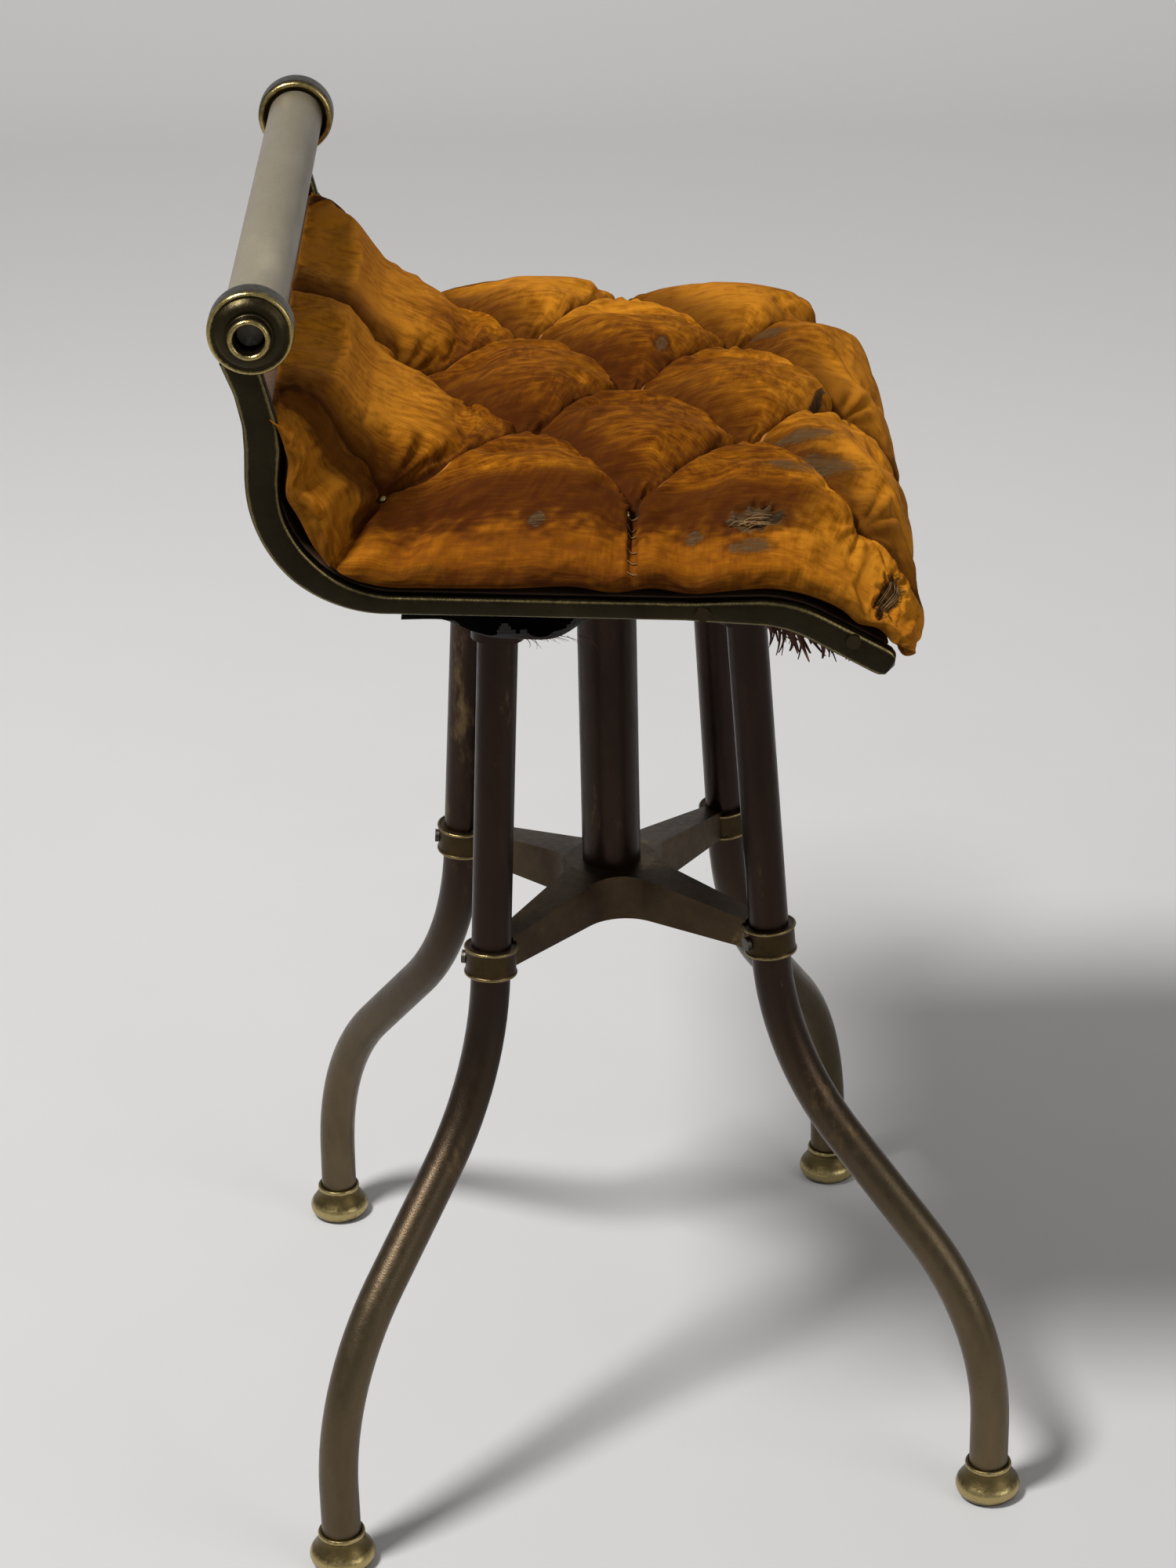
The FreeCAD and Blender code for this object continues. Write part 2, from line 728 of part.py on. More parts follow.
# Seat flange: a boss on the screw and a round plate under the seat board
boss_base = f"{bush_top} + sizes.clear_gap"
flange_body = turned(
    "flange_blank",
    [
        ("sizes.screw_dia / 2 + sizes.close_fit", boss_base),
        ("sizes.flange_boss_dia / 2", boss_base),
        ("sizes.flange_boss_dia / 2", "sizes.flange_under"),
        ("sizes.flange_dia / 2", "sizes.flange_under"),
        ("sizes.flange_dia / 2", flange_top),
        ("sizes.screw_dia / 2 + sizes.close_fit", flange_top),
    ],
)
flange_screw = small_screw("flange_screw", "sizes.small_screw_length")
flange_screw_places = []
for turn in range(0, 360, 90):
    arm = Placement(ORIGIN, Rotation(UP, turn + 45))
    seat = Vector(size("flange_dia") / 2 - size("small_head_dia"), 0, size("flange_under"))
    flange_screw_places.append(arm.multiply(Placement(seat, Rotation(Vector(1, 0, 0), 180))))
flange_screw_holes = group("flange_screw_holes", screw_hole, flange_screw_places)
keep("seat_flange", cut_by("seat_flange", flange_body, flange_screw_holes))
keep("flange_screws", group("flange_screws", flange_screw, flange_screw_places))

# Route of the seat in side view: down the back, round the rear bend, along the strap and over the front
fall = math.radians(size("strap_fall"))
dip = math.radians(size("front_dip"))
rear_turn = math.pi / 2 - fall
strap_start = Vector(
    -size("arm_back") + size("rear_bend") * (1 - math.sin(fall)), 0, size("strap_rear_height")
)
rear_centre = strap_start + Vector(math.sin(fall), 0, math.cos(fall)) * size("rear_bend")
strap_run = (size("strap_front") - strap_start.x) / math.cos(fall)
rear_arc = size("rear_bend") * rear_turn
front_arc = size("front_bend") * (dip - fall)


# Place and heading on the route, at a distance from the top of the rear bend (less than 0 is up the arm)
def route_at(distance):
    if distance <= 0:
        return Vector(-size("arm_back"), 0, rear_centre.z - distance), -math.pi / 2
    if distance <= rear_arc:
        heading = -math.pi / 2 + distance / size("rear_bend")
        return rear_centre + Vector(math.sin(heading), 0, -math.cos(heading)) * size("rear_bend"), heading
    distance -= rear_arc
    if distance <= strap_run:
        return strap_start + Vector(math.cos(fall), 0, -math.sin(fall)) * distance, -fall
    front_start = strap_start + Vector(math.cos(fall), 0, -math.sin(fall)) * strap_run
    front_centre = front_start - Vector(math.sin(fall), 0, math.cos(fall)) * size("front_bend")
    distance -= strap_run
    heading = -fall - min(distance / size("front_bend"), dip - fall)
    spot = front_centre + Vector(-math.sin(heading), 0, math.cos(heading)) * size("front_bend")
    distance = max(distance - front_arc, 0)
    return spot + Vector(math.cos(heading), 0, math.sin(heading)) * distance, heading


route_end = rear_arc + strap_run + front_arc + size("lip_length")


def beside_route(distance, offset):
    spot, heading = route_at(distance)
    return spot + Vector(-math.sin(heading), 0, math.cos(heading)) * offset


# Distance along the route of a height on the arm, told as a share of the boss below the boss centre
def arm_at(share):
    return rear_centre.z - size("boss_height") + share * size("boss_dia")


# Half widths of the rail on the route: outer (below it) and inner (above it). The stations go in threes, and
# each edge runs from a first station through a middle one to a last one, which starts the next edge.
arm_half = size("rail_arm_width") / 2
strap_half = size("strap_height") / 2
lip_half = size("lip_height") / 2
neck = size("neck_width")
lip_at = rear_arc + strap_run + front_arc
RAIL_STATIONS = [
    (arm_at(0.4), neck * 1.35, -neck * 0.15),
    (arm_at(0.77), neck * 0.81, neck * 0.19),
    (arm_at(1.15), arm_half * 0.8, arm_half * 0.87),
    (arm_at(1.45), arm_half * 0.9, arm_half * 1.1),
    (arm_at(1.8), arm_half * 1.05, arm_half * 0.97),
    (rear_arc * 0.2, arm_half, arm_half),
    (rear_arc * 0.5, arm_half * 0.96, arm_half * 0.96),
    (rear_arc * 0.75, arm_half * 0.77, arm_half * 0.77),
    (rear_arc, strap_half, strap_half),
    (rear_arc + strap_run * 0.4, strap_half, strap_half),
    (rear_arc + strap_run * 0.8, strap_half, strap_half),
    (rear_arc + strap_run * 0.9, strap_half * 1.2, strap_half * 1.2),
    (rear_arc + strap_run, lip_half * 0.88, lip_half * 0.88),
    (rear_arc + strap_run + front_arc / 2, lip_half * 0.94, lip_half * 0.94),
    (lip_at, lip_half * 0.98, lip_half * 0.98),
    (lip_at + size("lip_length") / 2, lip_half, lip_half),
    (route_end, lip_half, lip_half),
]


# Height of the rail's upper edge over the route
def upper_edge(distance):
    for (start, outer, low), (finish, outer, high) in zip(RAIL_STATIONS, RAIL_STATIONS[1:]):
        if distance <= finish:
            return low + (high - low) * (distance - start) / (finish - start)
    return high


# Edges through points taken in threes: an arc, or a line where the three lie straight
def chain(points):
    edges = []
    for start, middle, finish in zip(points[0::2], points[1::2], points[2::2]):
        off_line = (middle - start).cross(finish - start).Length / (finish - start).Length
        if off_line < 0.01:
            edges.append(Part.LineSegment(start, finish).toShape())
        else:
            edges.append(Part.Arc(start, middle, finish).toShape())
    return edges


# A closed outline in side view, carried across the seat between two values of y
def across(edges, y_low, y_high):
    face = Part.Face(Part.Wire(Part.__sortEdges__(edges)))
    face.translate(Vector(0, y_low, 0))
    return face.extrude(Vector(0, y_high - y_low, 0))


# Side rail: the flat casting along the route, joined to the turned boss that holds the grab rail
rail_outer_face = size("seat_width") / 2
rail_inner_face = rail_outer_face - size("rail_thick")
under_points = [beside_route(distance, -outer) for distance, outer, inner in RAIL_STATIONS]
over_points = [beside_route(distance, inner) for distance, outer, inner in RAIL_STATIONS]
tip = beside_route(route_end, 0)
tip_heading = route_at(route_end)[1]
tip_nose = tip + Vector(math.cos(tip_heading), 0, math.sin(tip_heading)) * lip_half
rail_edges = chain(under_points) + chain(over_points) + chain([under_points[-1], tip_nose, over_points[-1]])
rail_edges.append(Part.LineSegment(under_points[0], over_points[0]).toShape())
rail_casting = solid_feature("rail_casting", across(rail_edges, -rail_outer_face, -rail_inner_face))

boss_rim = "sizes.rail_thick + sizes.boss_proud"
boss = turned(
    "rail_boss",
    [
        ("0", "0"),
        ("sizes.boss_dia / 2", "0"),
        ("sizes.boss_dia / 2", f"{boss_rim} - sizes.rim_bevel"),
        ("sizes.boss_dia / 2 - sizes.rim_bevel", boss_rim),
        ("sizes.boss_dia / 2 - 2 * sizes.rim_bevel", boss_rim),
        ("sizes.eye_dia / 2", f"{boss_rim} - sizes.boss_dish"),
        ("sizes.eye_dia / 2", "sizes.rail_thick + sizes.eye_proud"),
        ("0", "sizes.rail_thick + sizes.eye_proud"),
    ],
)
boss_centre = Vector(-size("boss_back"), -rail_inner_face, size("boss_height"))
boss.Placement = Placement(boss_centre, TO_THE_RIGHT)
eye_floor = "sizes.rail_thick - 1"
eye_cutter = turned(
    "eye_cutter",
    [
        ("0", "-1"),
        ("sizes.end_screw_dia / 2 + sizes.close_fit", "-1"),
        ("sizes.end_screw_dia / 2 + sizes.close_fit", eye_floor),
        ("sizes.eye_bore / 2", eye_floor),
        ("sizes.eye_bore / 2", "sizes.rail_thick + sizes.eye_proud + 1"),
        ("0", "sizes.rail_thick + sizes.eye_proud + 1"),
    ],
)
eye_cutter.Placement = boss.Placement
rail_with_boss = joined("rail_with_boss", "fuse", [rail_casting, boss])

# Rail screws: through each rail into the edges of the seat board and the front apron
rail_screw = round_screw(
    "rail_screw",
    "sizes.small_screw_dia",
    "sizes.rail_thick + sizes.wood_screw_length",
    "sizes.small_head_dia",
    "sizes.small_head",
)
strap_screw_at = rear_arc + (size("rail_screw_rear") - strap_start.x) / math.cos(fall)
front_flat_x = beside_route(rear_arc + strap_run + front_arc, 0).x
lip_screw_at = rear_arc + strap_run + front_arc + (size("rail_screw_front") - front_flat_x) / math.cos(dip)
lip_screw_rise = lip_half - size("slat_thick") / 2
rail_screw_spots = [beside_route(strap_screw_at, 0), beside_route(lip_screw_at, lip_screw_rise)]
outer_face = Vector(0, rail_outer_face, 0)
right_screw_places = [Placement(spot - outer_face, TO_THE_RIGHT) for spot in rail_screw_spots]
left_screw_places = [Placement(spot + outer_face, TO_THE_LEFT) for spot in rail_screw_spots]
rail_screw_holes = group("rail_screw_holes", screw_hole, right_screw_places)
rail_cutters = joined("rail_cutters", "fuse", [eye_cutter, rail_screw_holes])
side_rail_right = keep("side_rail_right", cut_by("side_rail_right", rail_with_boss, rail_cutters))
side_rail_left = doc.addObject("Part::Mirroring", "side_rail_left")
side_rail_left.Source = side_rail_right
side_rail_left.Normal = Vector(0, 1, 0)
doc.recompute()
keep("side_rail_left", side_rail_left)
keep("rail_screws", group("rail_screws", rail_screw, right_screw_places + left_screw_places))

# Grab rail: a round tube between the bosses, with a plug in each end for the long end screw
grab_start = Vector(-size("boss_back"), rail_inner_face - size("close_fit"), size("boss_height"))
grab_body = new_body("grab_rail")
grab_inner = "sizes.grab_dia - 2 * sizes.grab_wall"


def draw_grab(sketch):
    add_circle(sketch, "sizes.grab_dia")
    add_circle(sketch, grab_inner)


padded(
    grab_body,
    "grab_wall_pad",
    "XY_Plane",
    draw_grab,
    "sizes.seat_width - 2 * sizes.rail_thick - 2 * sizes.close_fit",
)
grab_body.Placement = Placement(grab_start, TO_THE_RIGHT)
keep("grab_rail", grab_body)
end_screw = round_screw(
    "end_screw",
    "sizes.end_screw_dia",
    "sizes.rail_thick - 1 + sizes.grab_plug_length",
    "sizes.end_head_dia",
    "sizes.small_head * 1.4",
)
end_screw_places = []
grab_middle = Vector(-size("boss_back"), 0, size("boss_height"))
in_grab_rail = f"{grab_inner} - 2 * sizes.close_fit"
for label, facing in (("right", TO_THE_RIGHT), ("left", TO_THE_LEFT)):
    outward = Placement(grab_middle, facing)
    plug_start = rail_inner_face - size("close_fit") - size("grab_plug_length")
    inside = outward.multiply(at_height(plug_start))
    blank = cylinder("grab_plug_blank_" + label, in_grab_rail, "sizes.grab_plug_length", inside)
    hole = cylinder(
        "grab_plug_hole_" + label,
        "sizes.end_screw_dia + 2 * sizes.close_fit",
        "sizes.grab_plug_length",
        inside,
    )
    keep("grab_plug_" + label, cut_by("grab_plug_" + label, blank, hole))
    end_screw_places.append(outward.multiply(at_height(rail_inner_face + size("rail_thick") - 1)))
keep("end_screws", group("end_screws", end_screw, end_screw_places))

# Boards of the seat: their upper faces run level with the upper edges of the rails
board_side = rail_inner_face - size("close_fit")


def upper_face(distance, sink=0):
    return beside_route(distance, upper_edge(distance) - sink)


def curved_board(label, distances):
    over = [upper_face(distance) for distance in distances]
    under = [upper_face(distance, size("slat_thick")) for distance in distances]
    edges = chain(over) + chain(under)
    edges += [Part.LineSegment(over[end], under[end]).toShape() for end in (0, -1)]
    return keep(label, solid_feature(label, across(edges, -board_side, board_side)))


back_top = -size("back_board_rise")
back_distances = [back_top, back_top / 2, 0, rear_arc * 0.25, rear_arc * 0.5, rear_arc * 0.75, rear_arc]
curved_board("back_board", back_distances)
strap_end = rear_arc + strap_run
apron_distances = [strap_end, strap_end + front_arc / 2, lip_at, (lip_at + route_end) / 2, route_end]
curved_board("front_apron", apron_distances)
board_base = size("flange_under") + size("flange_thick")
strap_distances = [rear_arc + strap_run * share for share in (0, 0.4, 0.8, 0.9, 1)]
board_over = [upper_face(distance) for distance in strap_distances]
board_rear, board_front = board_over[0], board_over[-1]
board_under = []
for corner in (board_rear, board_front):
    board_under.append(Vector(corner.x - (corner.z - board_base) * math.tan(fall), 0, board_base))
board_edges = chain(board_over)
board_edges.append(Part.LineSegment(board_front, board_under[1]).toShape())
board_edges.append(Part.LineSegment(board_under[1], board_under[0]).toShape())
board_edges.append(Part.LineSegment(board_under[0], board_rear).toShape())
keep("seat_board", solid_feature("seat_board", across(board_edges, -board_side, board_side)))

# Cushion: stuffing over the boards and rails, from the top of the back board round the front edge.
# It is laid out in tuft steps: u runs from back to front, v across the seat.
crown = size("cushion_crown")
gap = size("cushion_gap")
cushion_run = route_end - back_top
NOSE_START = 3.2
NOSE_END = 4
nose_turn = math.radians(size("nose_wrap"))
# Each station has its place u, how far along the boards it starts (a share of their run, up to the nose),
# how high it stands (a share of the crown) and which way it leans (degrees over the front direction)
CUSHION_STATIONS = [
    (-4.2, 0, 0.053, 130),
    (-3.6, 0.033, 0.477, 49.6),
    (-3, 0.078, 0.727, 33.7),
    (-2.5, 0.139, 0.909, 33.7),
    (-2, 0.228, 1, 45),
    (-1, 0.453, 1.03, 76.4),
    (0, 0.633, 1, 88.8),
    (1, 0.781, 0.893, 84.8),
    (2, 0.908, 0.857, 70.7),
    (2.6, 0.958, 0.743, 47.2),
    (NOSE_START, 1, 0.549, 17),
    (3.7, 1, 0.354, -23.6),
    (NOSE_END, 1, 0.162, -60),
]
profile = Part.BSplineCurve()
profile.interpolate(
    Points=[Vector(start, stand, lean) for u, start, stand, lean in CUSHION_STATIONS],
    Parameters=[u for u, start, stand, lean in CUSHION_STATIONS],
)


# Foot of the cushion at u: on the boards and the rails, and round their front ends at the nose
def cushion_foot(u):
    if u < NOSE_START:
        distance = back_top + min(max(profile.value(u).x, 0), 1) * cushion_run
        return beside_route(distance, upper_edge(distance) + gap)
    turn = math.pi / 2 - dip - nose_turn * (u - NOSE_START) / (NOSE_END - NOSE_START)
    return beside_route(route_end, 0) + Vector(math.cos(turn), 0, math.sin(turn)) * (lip_half + gap)


def cushion_lift(u):
    lean = math.radians(profile.value(u).z)
    return Vector(math.cos(lean), 0, math.sin(lean)) * profile.value(u).y * crown


# Depth of the sewn pattern, 0 on the crowns and 1 at a tuft: diagonal creases between the tufts and
# straight pleats from the outer tufts to the edges
def pattern_depth(u, v):
    field_u = max(-2, min(2, u))
    field_v = max(-2, min(2, v))
    rising = abs(math.sin(math.pi * (field_u + field_v) / 2))
    falling = abs(math.sin(math.pi * (field_u - field_v) / 2))
    crease = (1 - min(rising, falling)) ** 3
    dimple = ((1 - rising) * (1 - falling)) ** 0.8
    outside = max(abs(u) - 2, abs(v) - 2, 0)
    fade = max(0, 1 - outside / 1.2)
    return (0.42 * crease + 0.58 * dimple) * fade


def cushion_point(u, v):
    base = cushion_foot(u)
    lift = cushion_lift(u)
    tall = lift.Length
    field_edge = 2 * size("tuft_pitch")
    y = min(abs(v), 2) * size("tuft_pitch")
    roll = max(abs(v) - 2, 0)
    y += (size("cushion_width") / 2 - field_edge) * math.sin(roll * math.pi / 2)
    rim = min(size("cushion_rim"), tall)
    rise = rim + (tall - rim) * math.cos(roll * math.pi / 2)
    depth = size("tuft_depth") * pattern_depth(u, v) * min(1, tall / crown)
    spot = base + lift * ((rise - min(depth, rise - rim)) / tall)
    return Vector(spot.x, math.copysign(y, v), spot.z)


def stations(first, last, count):
    return [first + (last - first) * step / (count - 1) for step in range(count)]


MERGE = 1e-6  # two points nearer than this are one


def facets(near_left, near_right, far_left, far_right, rising):
    if rising:
        corners = [(near_left, near_right, far_right), (near_left, far_right, far_left)]
    else:
        corners = [(near_left, near_right, far_left), (near_right, far_right, far_left)]
    sound = [(a, b, c) for a, b, c in corners if (b - a).cross(c - a).Length > MERGE]
    return [Part.Face(Part.makePolygon([a, b, c, a])) for a, b, c in sound]


# The skin is a net of flat facets, and their diagonals follow the creases from tuft to tuft
skin_u = stations(CUSHION_STATIONS[0][0], -3, 5) + stations(-3, 2, 11)[1:] + stations(2, NOSE_END, 6)[1:]
skin_v = stations(-3, -2, 4) + stations(-2, 2, 9)[1:] + stations(2, 3, 4)[1:]
cushion_half = Vector(0, size("cushion_width") / 2, 0)
rows = []
for u in skin_u:
    base = cushion_foot(u)
    rows.append([base - cushion_half] + [cushion_point(u, v) for v in skin_v] + [base + cushion_half])
cushion_faces = []
places_v = [skin_v[0]] + skin_v + [skin_v[-1]]
for (u, row), (next_u, next_row) in zip(zip(skin_u, rows), zip(skin_u[1:], rows[1:])):
    for step in range(len(row) - 1):
        middle_u = (u + next_u) / 2
        middle_v = (places_v[step] + places_v[step + 1]) / 2
        rising = math.sin(math.pi * middle_u) * math.sin(math.pi * middle_v) > 0
        cushion_faces += facets(row[step], row[step + 1], next_row[step], next_row[step + 1], rising)
    cushion_faces += facets(row[-1], row[0], next_row[-1], next_row[0], True)
for row in (rows[0], rows[-1]):
    cushion_faces.append(Part.Face(Part.makePolygon(row + row[:1])))
cushion_shell = Part.makeShell(cushion_faces)
cushion_shell.sewShape(1e-4)
cushion_solid = Part.makeSolid(cushion_shell)
if cushion_solid.Volume < 0:
    cushion_solid.reverse()
keep("cushion", solid_feature("cushion", cushion_solid))

# Tuft tacks: a round head on a square shank that holds the cushion down to the boards
tack_spots = [(u, v) for u in (-2, 0, 2) for v in (-2, 0, 2)] + [(u, v) for u in (-1, 1) for v in (-1, 1)]
tacks = []
for u, v in tack_spots:
    head = cushion_point(u, v)
    base = cushion_foot(u)
    inward = Vector(base.x - head.x, 0, base.z - head.z)
    shank_side = size("tack_shank")
    shank_length = inward.Length + size("slat_thick") * 0.7
    shank = Part.makeBox(shank_side, shank_side, shank_length, Vector(-shank_side / 2, -shank_side / 2, 0))
    cap = Part.makeCylinder(size("tack_dia") / 2, size("tack_head"), Vector(0, 0, -size("tack_head")))
    nail = shank.fuse(cap)
    nail.Placement = Placement(head, Rotation(UP, inward))
    tacks.append(nail)
keep("tuft_tacks", solid_feature("tuft_tacks", Part.makeCompound(tacks)))

# Bottom lining: cloth tacked under the board, hanging in a sag along each rail
lining_top = board_base - size("clear_gap")
sag_inner = size("flange_dia") / 2 + 4
sag_outer = board_side - size("clear_gap")
sag_low = sag_inner + (sag_outer - sag_inner) * 0.7
sag_profile = [
    (sag_inner, 0),
    ((sag_inner + sag_low) / 2, 0.55),
    (sag_low, 1),
    ((sag_low + sag_outer) / 2, 0.72),
    (sag_outer, 0),
]
sheet_edges = []
for lower in (0, size("lining_thick")):
    half = [Vector(0, y, lining_top - size("lining_sag") * share - lower) for y, share in sag_profile]
    mirrored = [Vector(0, -point.y, point.z) for point in half]
    sheet_edges += chain(half) + chain(mirrored)
    sheet_edges.append(Part.LineSegment(half[0], mirrored[0]).toShape())
for side in (-1, 1):
    drop = Vector(0, side * sag_outer, lining_top)
    sheet_edges.append(Part.LineSegment(drop, drop - Vector(0, 0, size("lining_thick"))).toShape())
lining_face = Part.Face(Part.Wire(Part.__sortEdges__(sheet_edges)))
lining_face.translate(Vector(board_rear.x + 2, 0, 0))
lining_length = Vector(board_front.x - board_rear.x - 4, 0, 0)
lining_blank = solid_feature("lining_blank", lining_face.extrude(lining_length))
below_lining = at_height(board_base - 3 * size("lining_sag"))
lining_hole = cylinder("lining_hole", "sizes.flange_dia + 4", "4 * sizes.lining_sag", below_lining)
keep("bottom_lining", cut_by("bottom_lining", lining_blank, lining_hole))

# Every object must have built, and every node must be a sound solid, before its file is written
doc.recompute()
faults = [item.Name for item in doc.Objects if "Invalid" in item.State or "Error" in item.State]
for label, item in nodes.items():
    if item.Shape.isNull() or not item.Shape.isValid() or not item.Shape.Solids:
        faults.append(label)
if faults:
    raise RuntimeError("these did not build: " + ", ".join(faults))
os.makedirs("parts", exist_ok=True)
for label, item in nodes.items():
    item.Shape.exportStep(f"parts/{label}.step")
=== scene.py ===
# %% [markdown]
# # A music stool with a buttoned velvet seat
# The real stool is an old one: four bent tube legs in two castings, a column with a height screw, two cast
# side rails, a round rail to carry it by, and a deep-buttoned cushion whose velvet is worn and torn.
# The solids come from the construction model and stay where they are. Blender gives each one its finish,
# and models again the pieces whose real surface is softer, rounder or more worn than a plain solid.

# %% Load the frame
import bpy
import bmesh
import random
import numpy as np
from contextlib import contextmanager
from math import atan2, copysign, cos, degrees, exp, hypot, pi, prod, radians, sin, sqrt, tanh
from mathutils import Matrix, Vector


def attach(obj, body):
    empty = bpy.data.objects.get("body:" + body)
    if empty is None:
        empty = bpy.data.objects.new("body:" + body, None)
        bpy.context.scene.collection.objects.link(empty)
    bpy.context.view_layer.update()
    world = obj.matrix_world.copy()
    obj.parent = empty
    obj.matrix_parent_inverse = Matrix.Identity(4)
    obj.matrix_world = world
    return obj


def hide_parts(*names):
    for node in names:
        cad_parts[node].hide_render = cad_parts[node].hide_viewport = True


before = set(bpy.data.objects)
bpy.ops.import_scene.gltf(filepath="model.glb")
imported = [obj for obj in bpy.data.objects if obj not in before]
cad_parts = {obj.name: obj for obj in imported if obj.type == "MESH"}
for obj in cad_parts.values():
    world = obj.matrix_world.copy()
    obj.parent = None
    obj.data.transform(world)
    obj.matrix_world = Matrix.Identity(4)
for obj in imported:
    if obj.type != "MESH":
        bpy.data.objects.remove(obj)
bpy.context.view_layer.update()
scene = bpy.context.scene
print("nodes in the frame:", len(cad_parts))

# %% [markdown]
# ## The camera
# The photograph was taken from the sitter's right, a little above the seat. The lens and the place were
# worked out from points whose real places are known, so the render has the same outline as the stool there.

# %% Camera
CAMERA_PLACE = Vector((-0.01165, -1.8749, 1.2486))
CAMERA_RIGHT = Vector((0.99973, -0.00999, -0.0211))
CAMERA_DOWN = Vector((-0.02334, -0.42771, -0.90361))
LENS_MM = 90.0
SENSOR_MM = 36.0

lens = bpy.data.cameras.new("camera")
lens.lens = LENS_MM
lens.sensor_width = SENSOR_MM
camera = bpy.data.objects.new("camera", lens)
look_back = CAMERA_RIGHT.cross(-CAMERA_DOWN).normalized()
camera_up = look_back.cross(CAMERA_RIGHT).normalized()
camera.matrix_world = Matrix.Translation(CAMERA_PLACE) @ Matrix(
    (CAMERA_RIGHT.normalized(), camera_up, look_back)
).transposed().to_4x4()
scene.collection.objects.link(camera)
scene.camera = camera
print("camera at", [round(value, 3) for value in camera.location])

# %% [markdown]
# ## Finishes
# A finish is a material made of nodes. Its sums are easier to read as Python sums than as a web of nodes,
# so a small class wraps each socket: adding or multiplying two of them adds the Math node that does it.

# %% A socket that can be added and multiplied
class Tone:
    """One output of a node. A sum on it adds a Math node to the same finish."""

    def __init__(self, finish, socket):
        self.finish, self.socket = finish, socket

    def __add__(self, other):
        return self.finish.maths("ADD", self, other)

    def __mul__(self, other):
        return self.finish.maths("MULTIPLY", self, other)

    def __sub__(self, other):
        return self.finish.maths("SUBTRACT", self, other)

    def __rsub__(self, other):
        return self.finish.maths("SUBTRACT", other, self)

    __radd__, __rmul__ = __add__, __mul__


def colour(red, green, blue):
    """A shade given as it looks on a screen, 0 to 255, as the linear values that nodes want."""
    linear = [((value / 255 + 0.055) / 1.055) ** 2.4 if value > 10 else value / 255 / 12.92
              for value in (red, green, blue)]
    return (*linear, 1.0)


# %% A finish and its nodes
class Finish:
    """A material built on one Principled shader. Plain values are set on the shader's own sockets."""

    def __init__(self, name, **plain):
        self.material = bpy.data.materials.new(name)
        self.material.use_nodes = True
        self.tree = self.material.node_tree
        self.tree.nodes.clear()
        output = self.tree.nodes.new("ShaderNodeOutputMaterial")
        self.shader = self.tree.nodes.new("ShaderNodeBsdfPrincipled")
        self.tree.links.new(self.shader.outputs[0], output.inputs[0])
        for socket, value in plain.items():
            self.shader.inputs[socket.replace("_", " ")].default_value = value
        self.place = self.node("TexCoord", out="Object")

    def node(self, kind, values=(), settings=None, out=0):
        """Adds a node: its settings first, then the values or links of its sockets, by number or name."""
        made = self.tree.nodes.new("ShaderNode" + kind)
        for key, value in (settings or {}).items():
            setattr(made, key, value)
        for key, value in values.items() if isinstance(values, dict) else enumerate(values):
            if isinstance(value, Tone):
                self.tree.links.new(value.socket, made.inputs[key])
            else:
                made.inputs[key].default_value = value
        return Tone(self, made.outputs[out])

    def maths(self, operation, *values):
        return self.node("Math", values, {"operation": operation})

    def clamp(self, value):
        return self.node("Clamp", [value])

    def axis(self, vector, number):
        return self.node("SeparateXYZ", [vector], out=number)

    def stored(self, name, out):
        """A value that the mesh keeps at its points: output 1 for a vector, 2 for a number."""
        return self.node("Attribute", settings={"attribute_name": name}, out=out)

    def noise(self, scale, detail=4.0, stretch=(1.0, 1.0, 1.0), rough=0.55, place=None):
        """Cloudy noise from 0 to 1, scale in lumps per metre, squeezed by stretch along the three axes."""
        squeezed = self.node("Mapping", {"Vector": place or self.place, "Scale": stretch})
        return self.node("TexNoise", {"Vector": squeezed, "Scale": scale, "Detail": detail,
                                      "Roughness": rough})

    def ramp(self, value, *stops):
        """The shade at a value, given stops that are each a place from 0 to 1 and a shade."""
        tone = self.node("ValToRGB", [value])
        marks = tone.socket.node.color_ramp.elements
        while len(marks) < len(stops):
            marks.new(0.5)
        for mark, (where, shade) in zip(marks, stops):
            mark.position = where
            mark.color = colour(*shade)
        return tone

    def step(self, value, low, high):
        """0 where value is under low, 1 where it is over high, and a soft edge between."""
        return self.node("MapRange", [value, low, high], {"interpolation_type": "SMOOTHSTEP"})

    def below(self, value, low, high):
        return 1.0 - self.step(value, low, high)

    def blend(self, share, first, second):
        """The first shade where share is 0 and the second where it is 1."""
        first, second = (tone if isinstance(tone, Tone) else colour(*tone) for tone in (first, second))
        return self.node("Mix", {0: share, 6: first, 7: second}, {"data_type": "RGBA"}, out=2)

    def bump(self, height, depth):
        """Lifts the surface by height times depth, in metres."""
        return self.node("Bump", {"Height": height, "Distance": depth, "Strength": 1.0})

    def feed(self, **sockets):
        """Links tones to the shader's sockets."""
        for name, value in sockets.items():
            self.tree.links.new(value.socket, self.shader.inputs[name.replace("_", " ")])


# %% [markdown]
# ## Floor and light
# A pale floor that curves up behind the stool, a lamp half a metre wide at the upper left, where the light
# of the photograph comes from, a weak broad one at the other side, and a dim white sky. The wider a lamp
# is, the softer are its shadows.

# %% Pick a piece, edit its mesh
def pick(*pieces):
    """Selects just these pieces and makes the first of them active."""
    bpy.ops.object.select_all(action="DESELECT")
    for piece in pieces:
        piece.select_set(True)
    bpy.context.view_layer.objects.active = pieces[0]


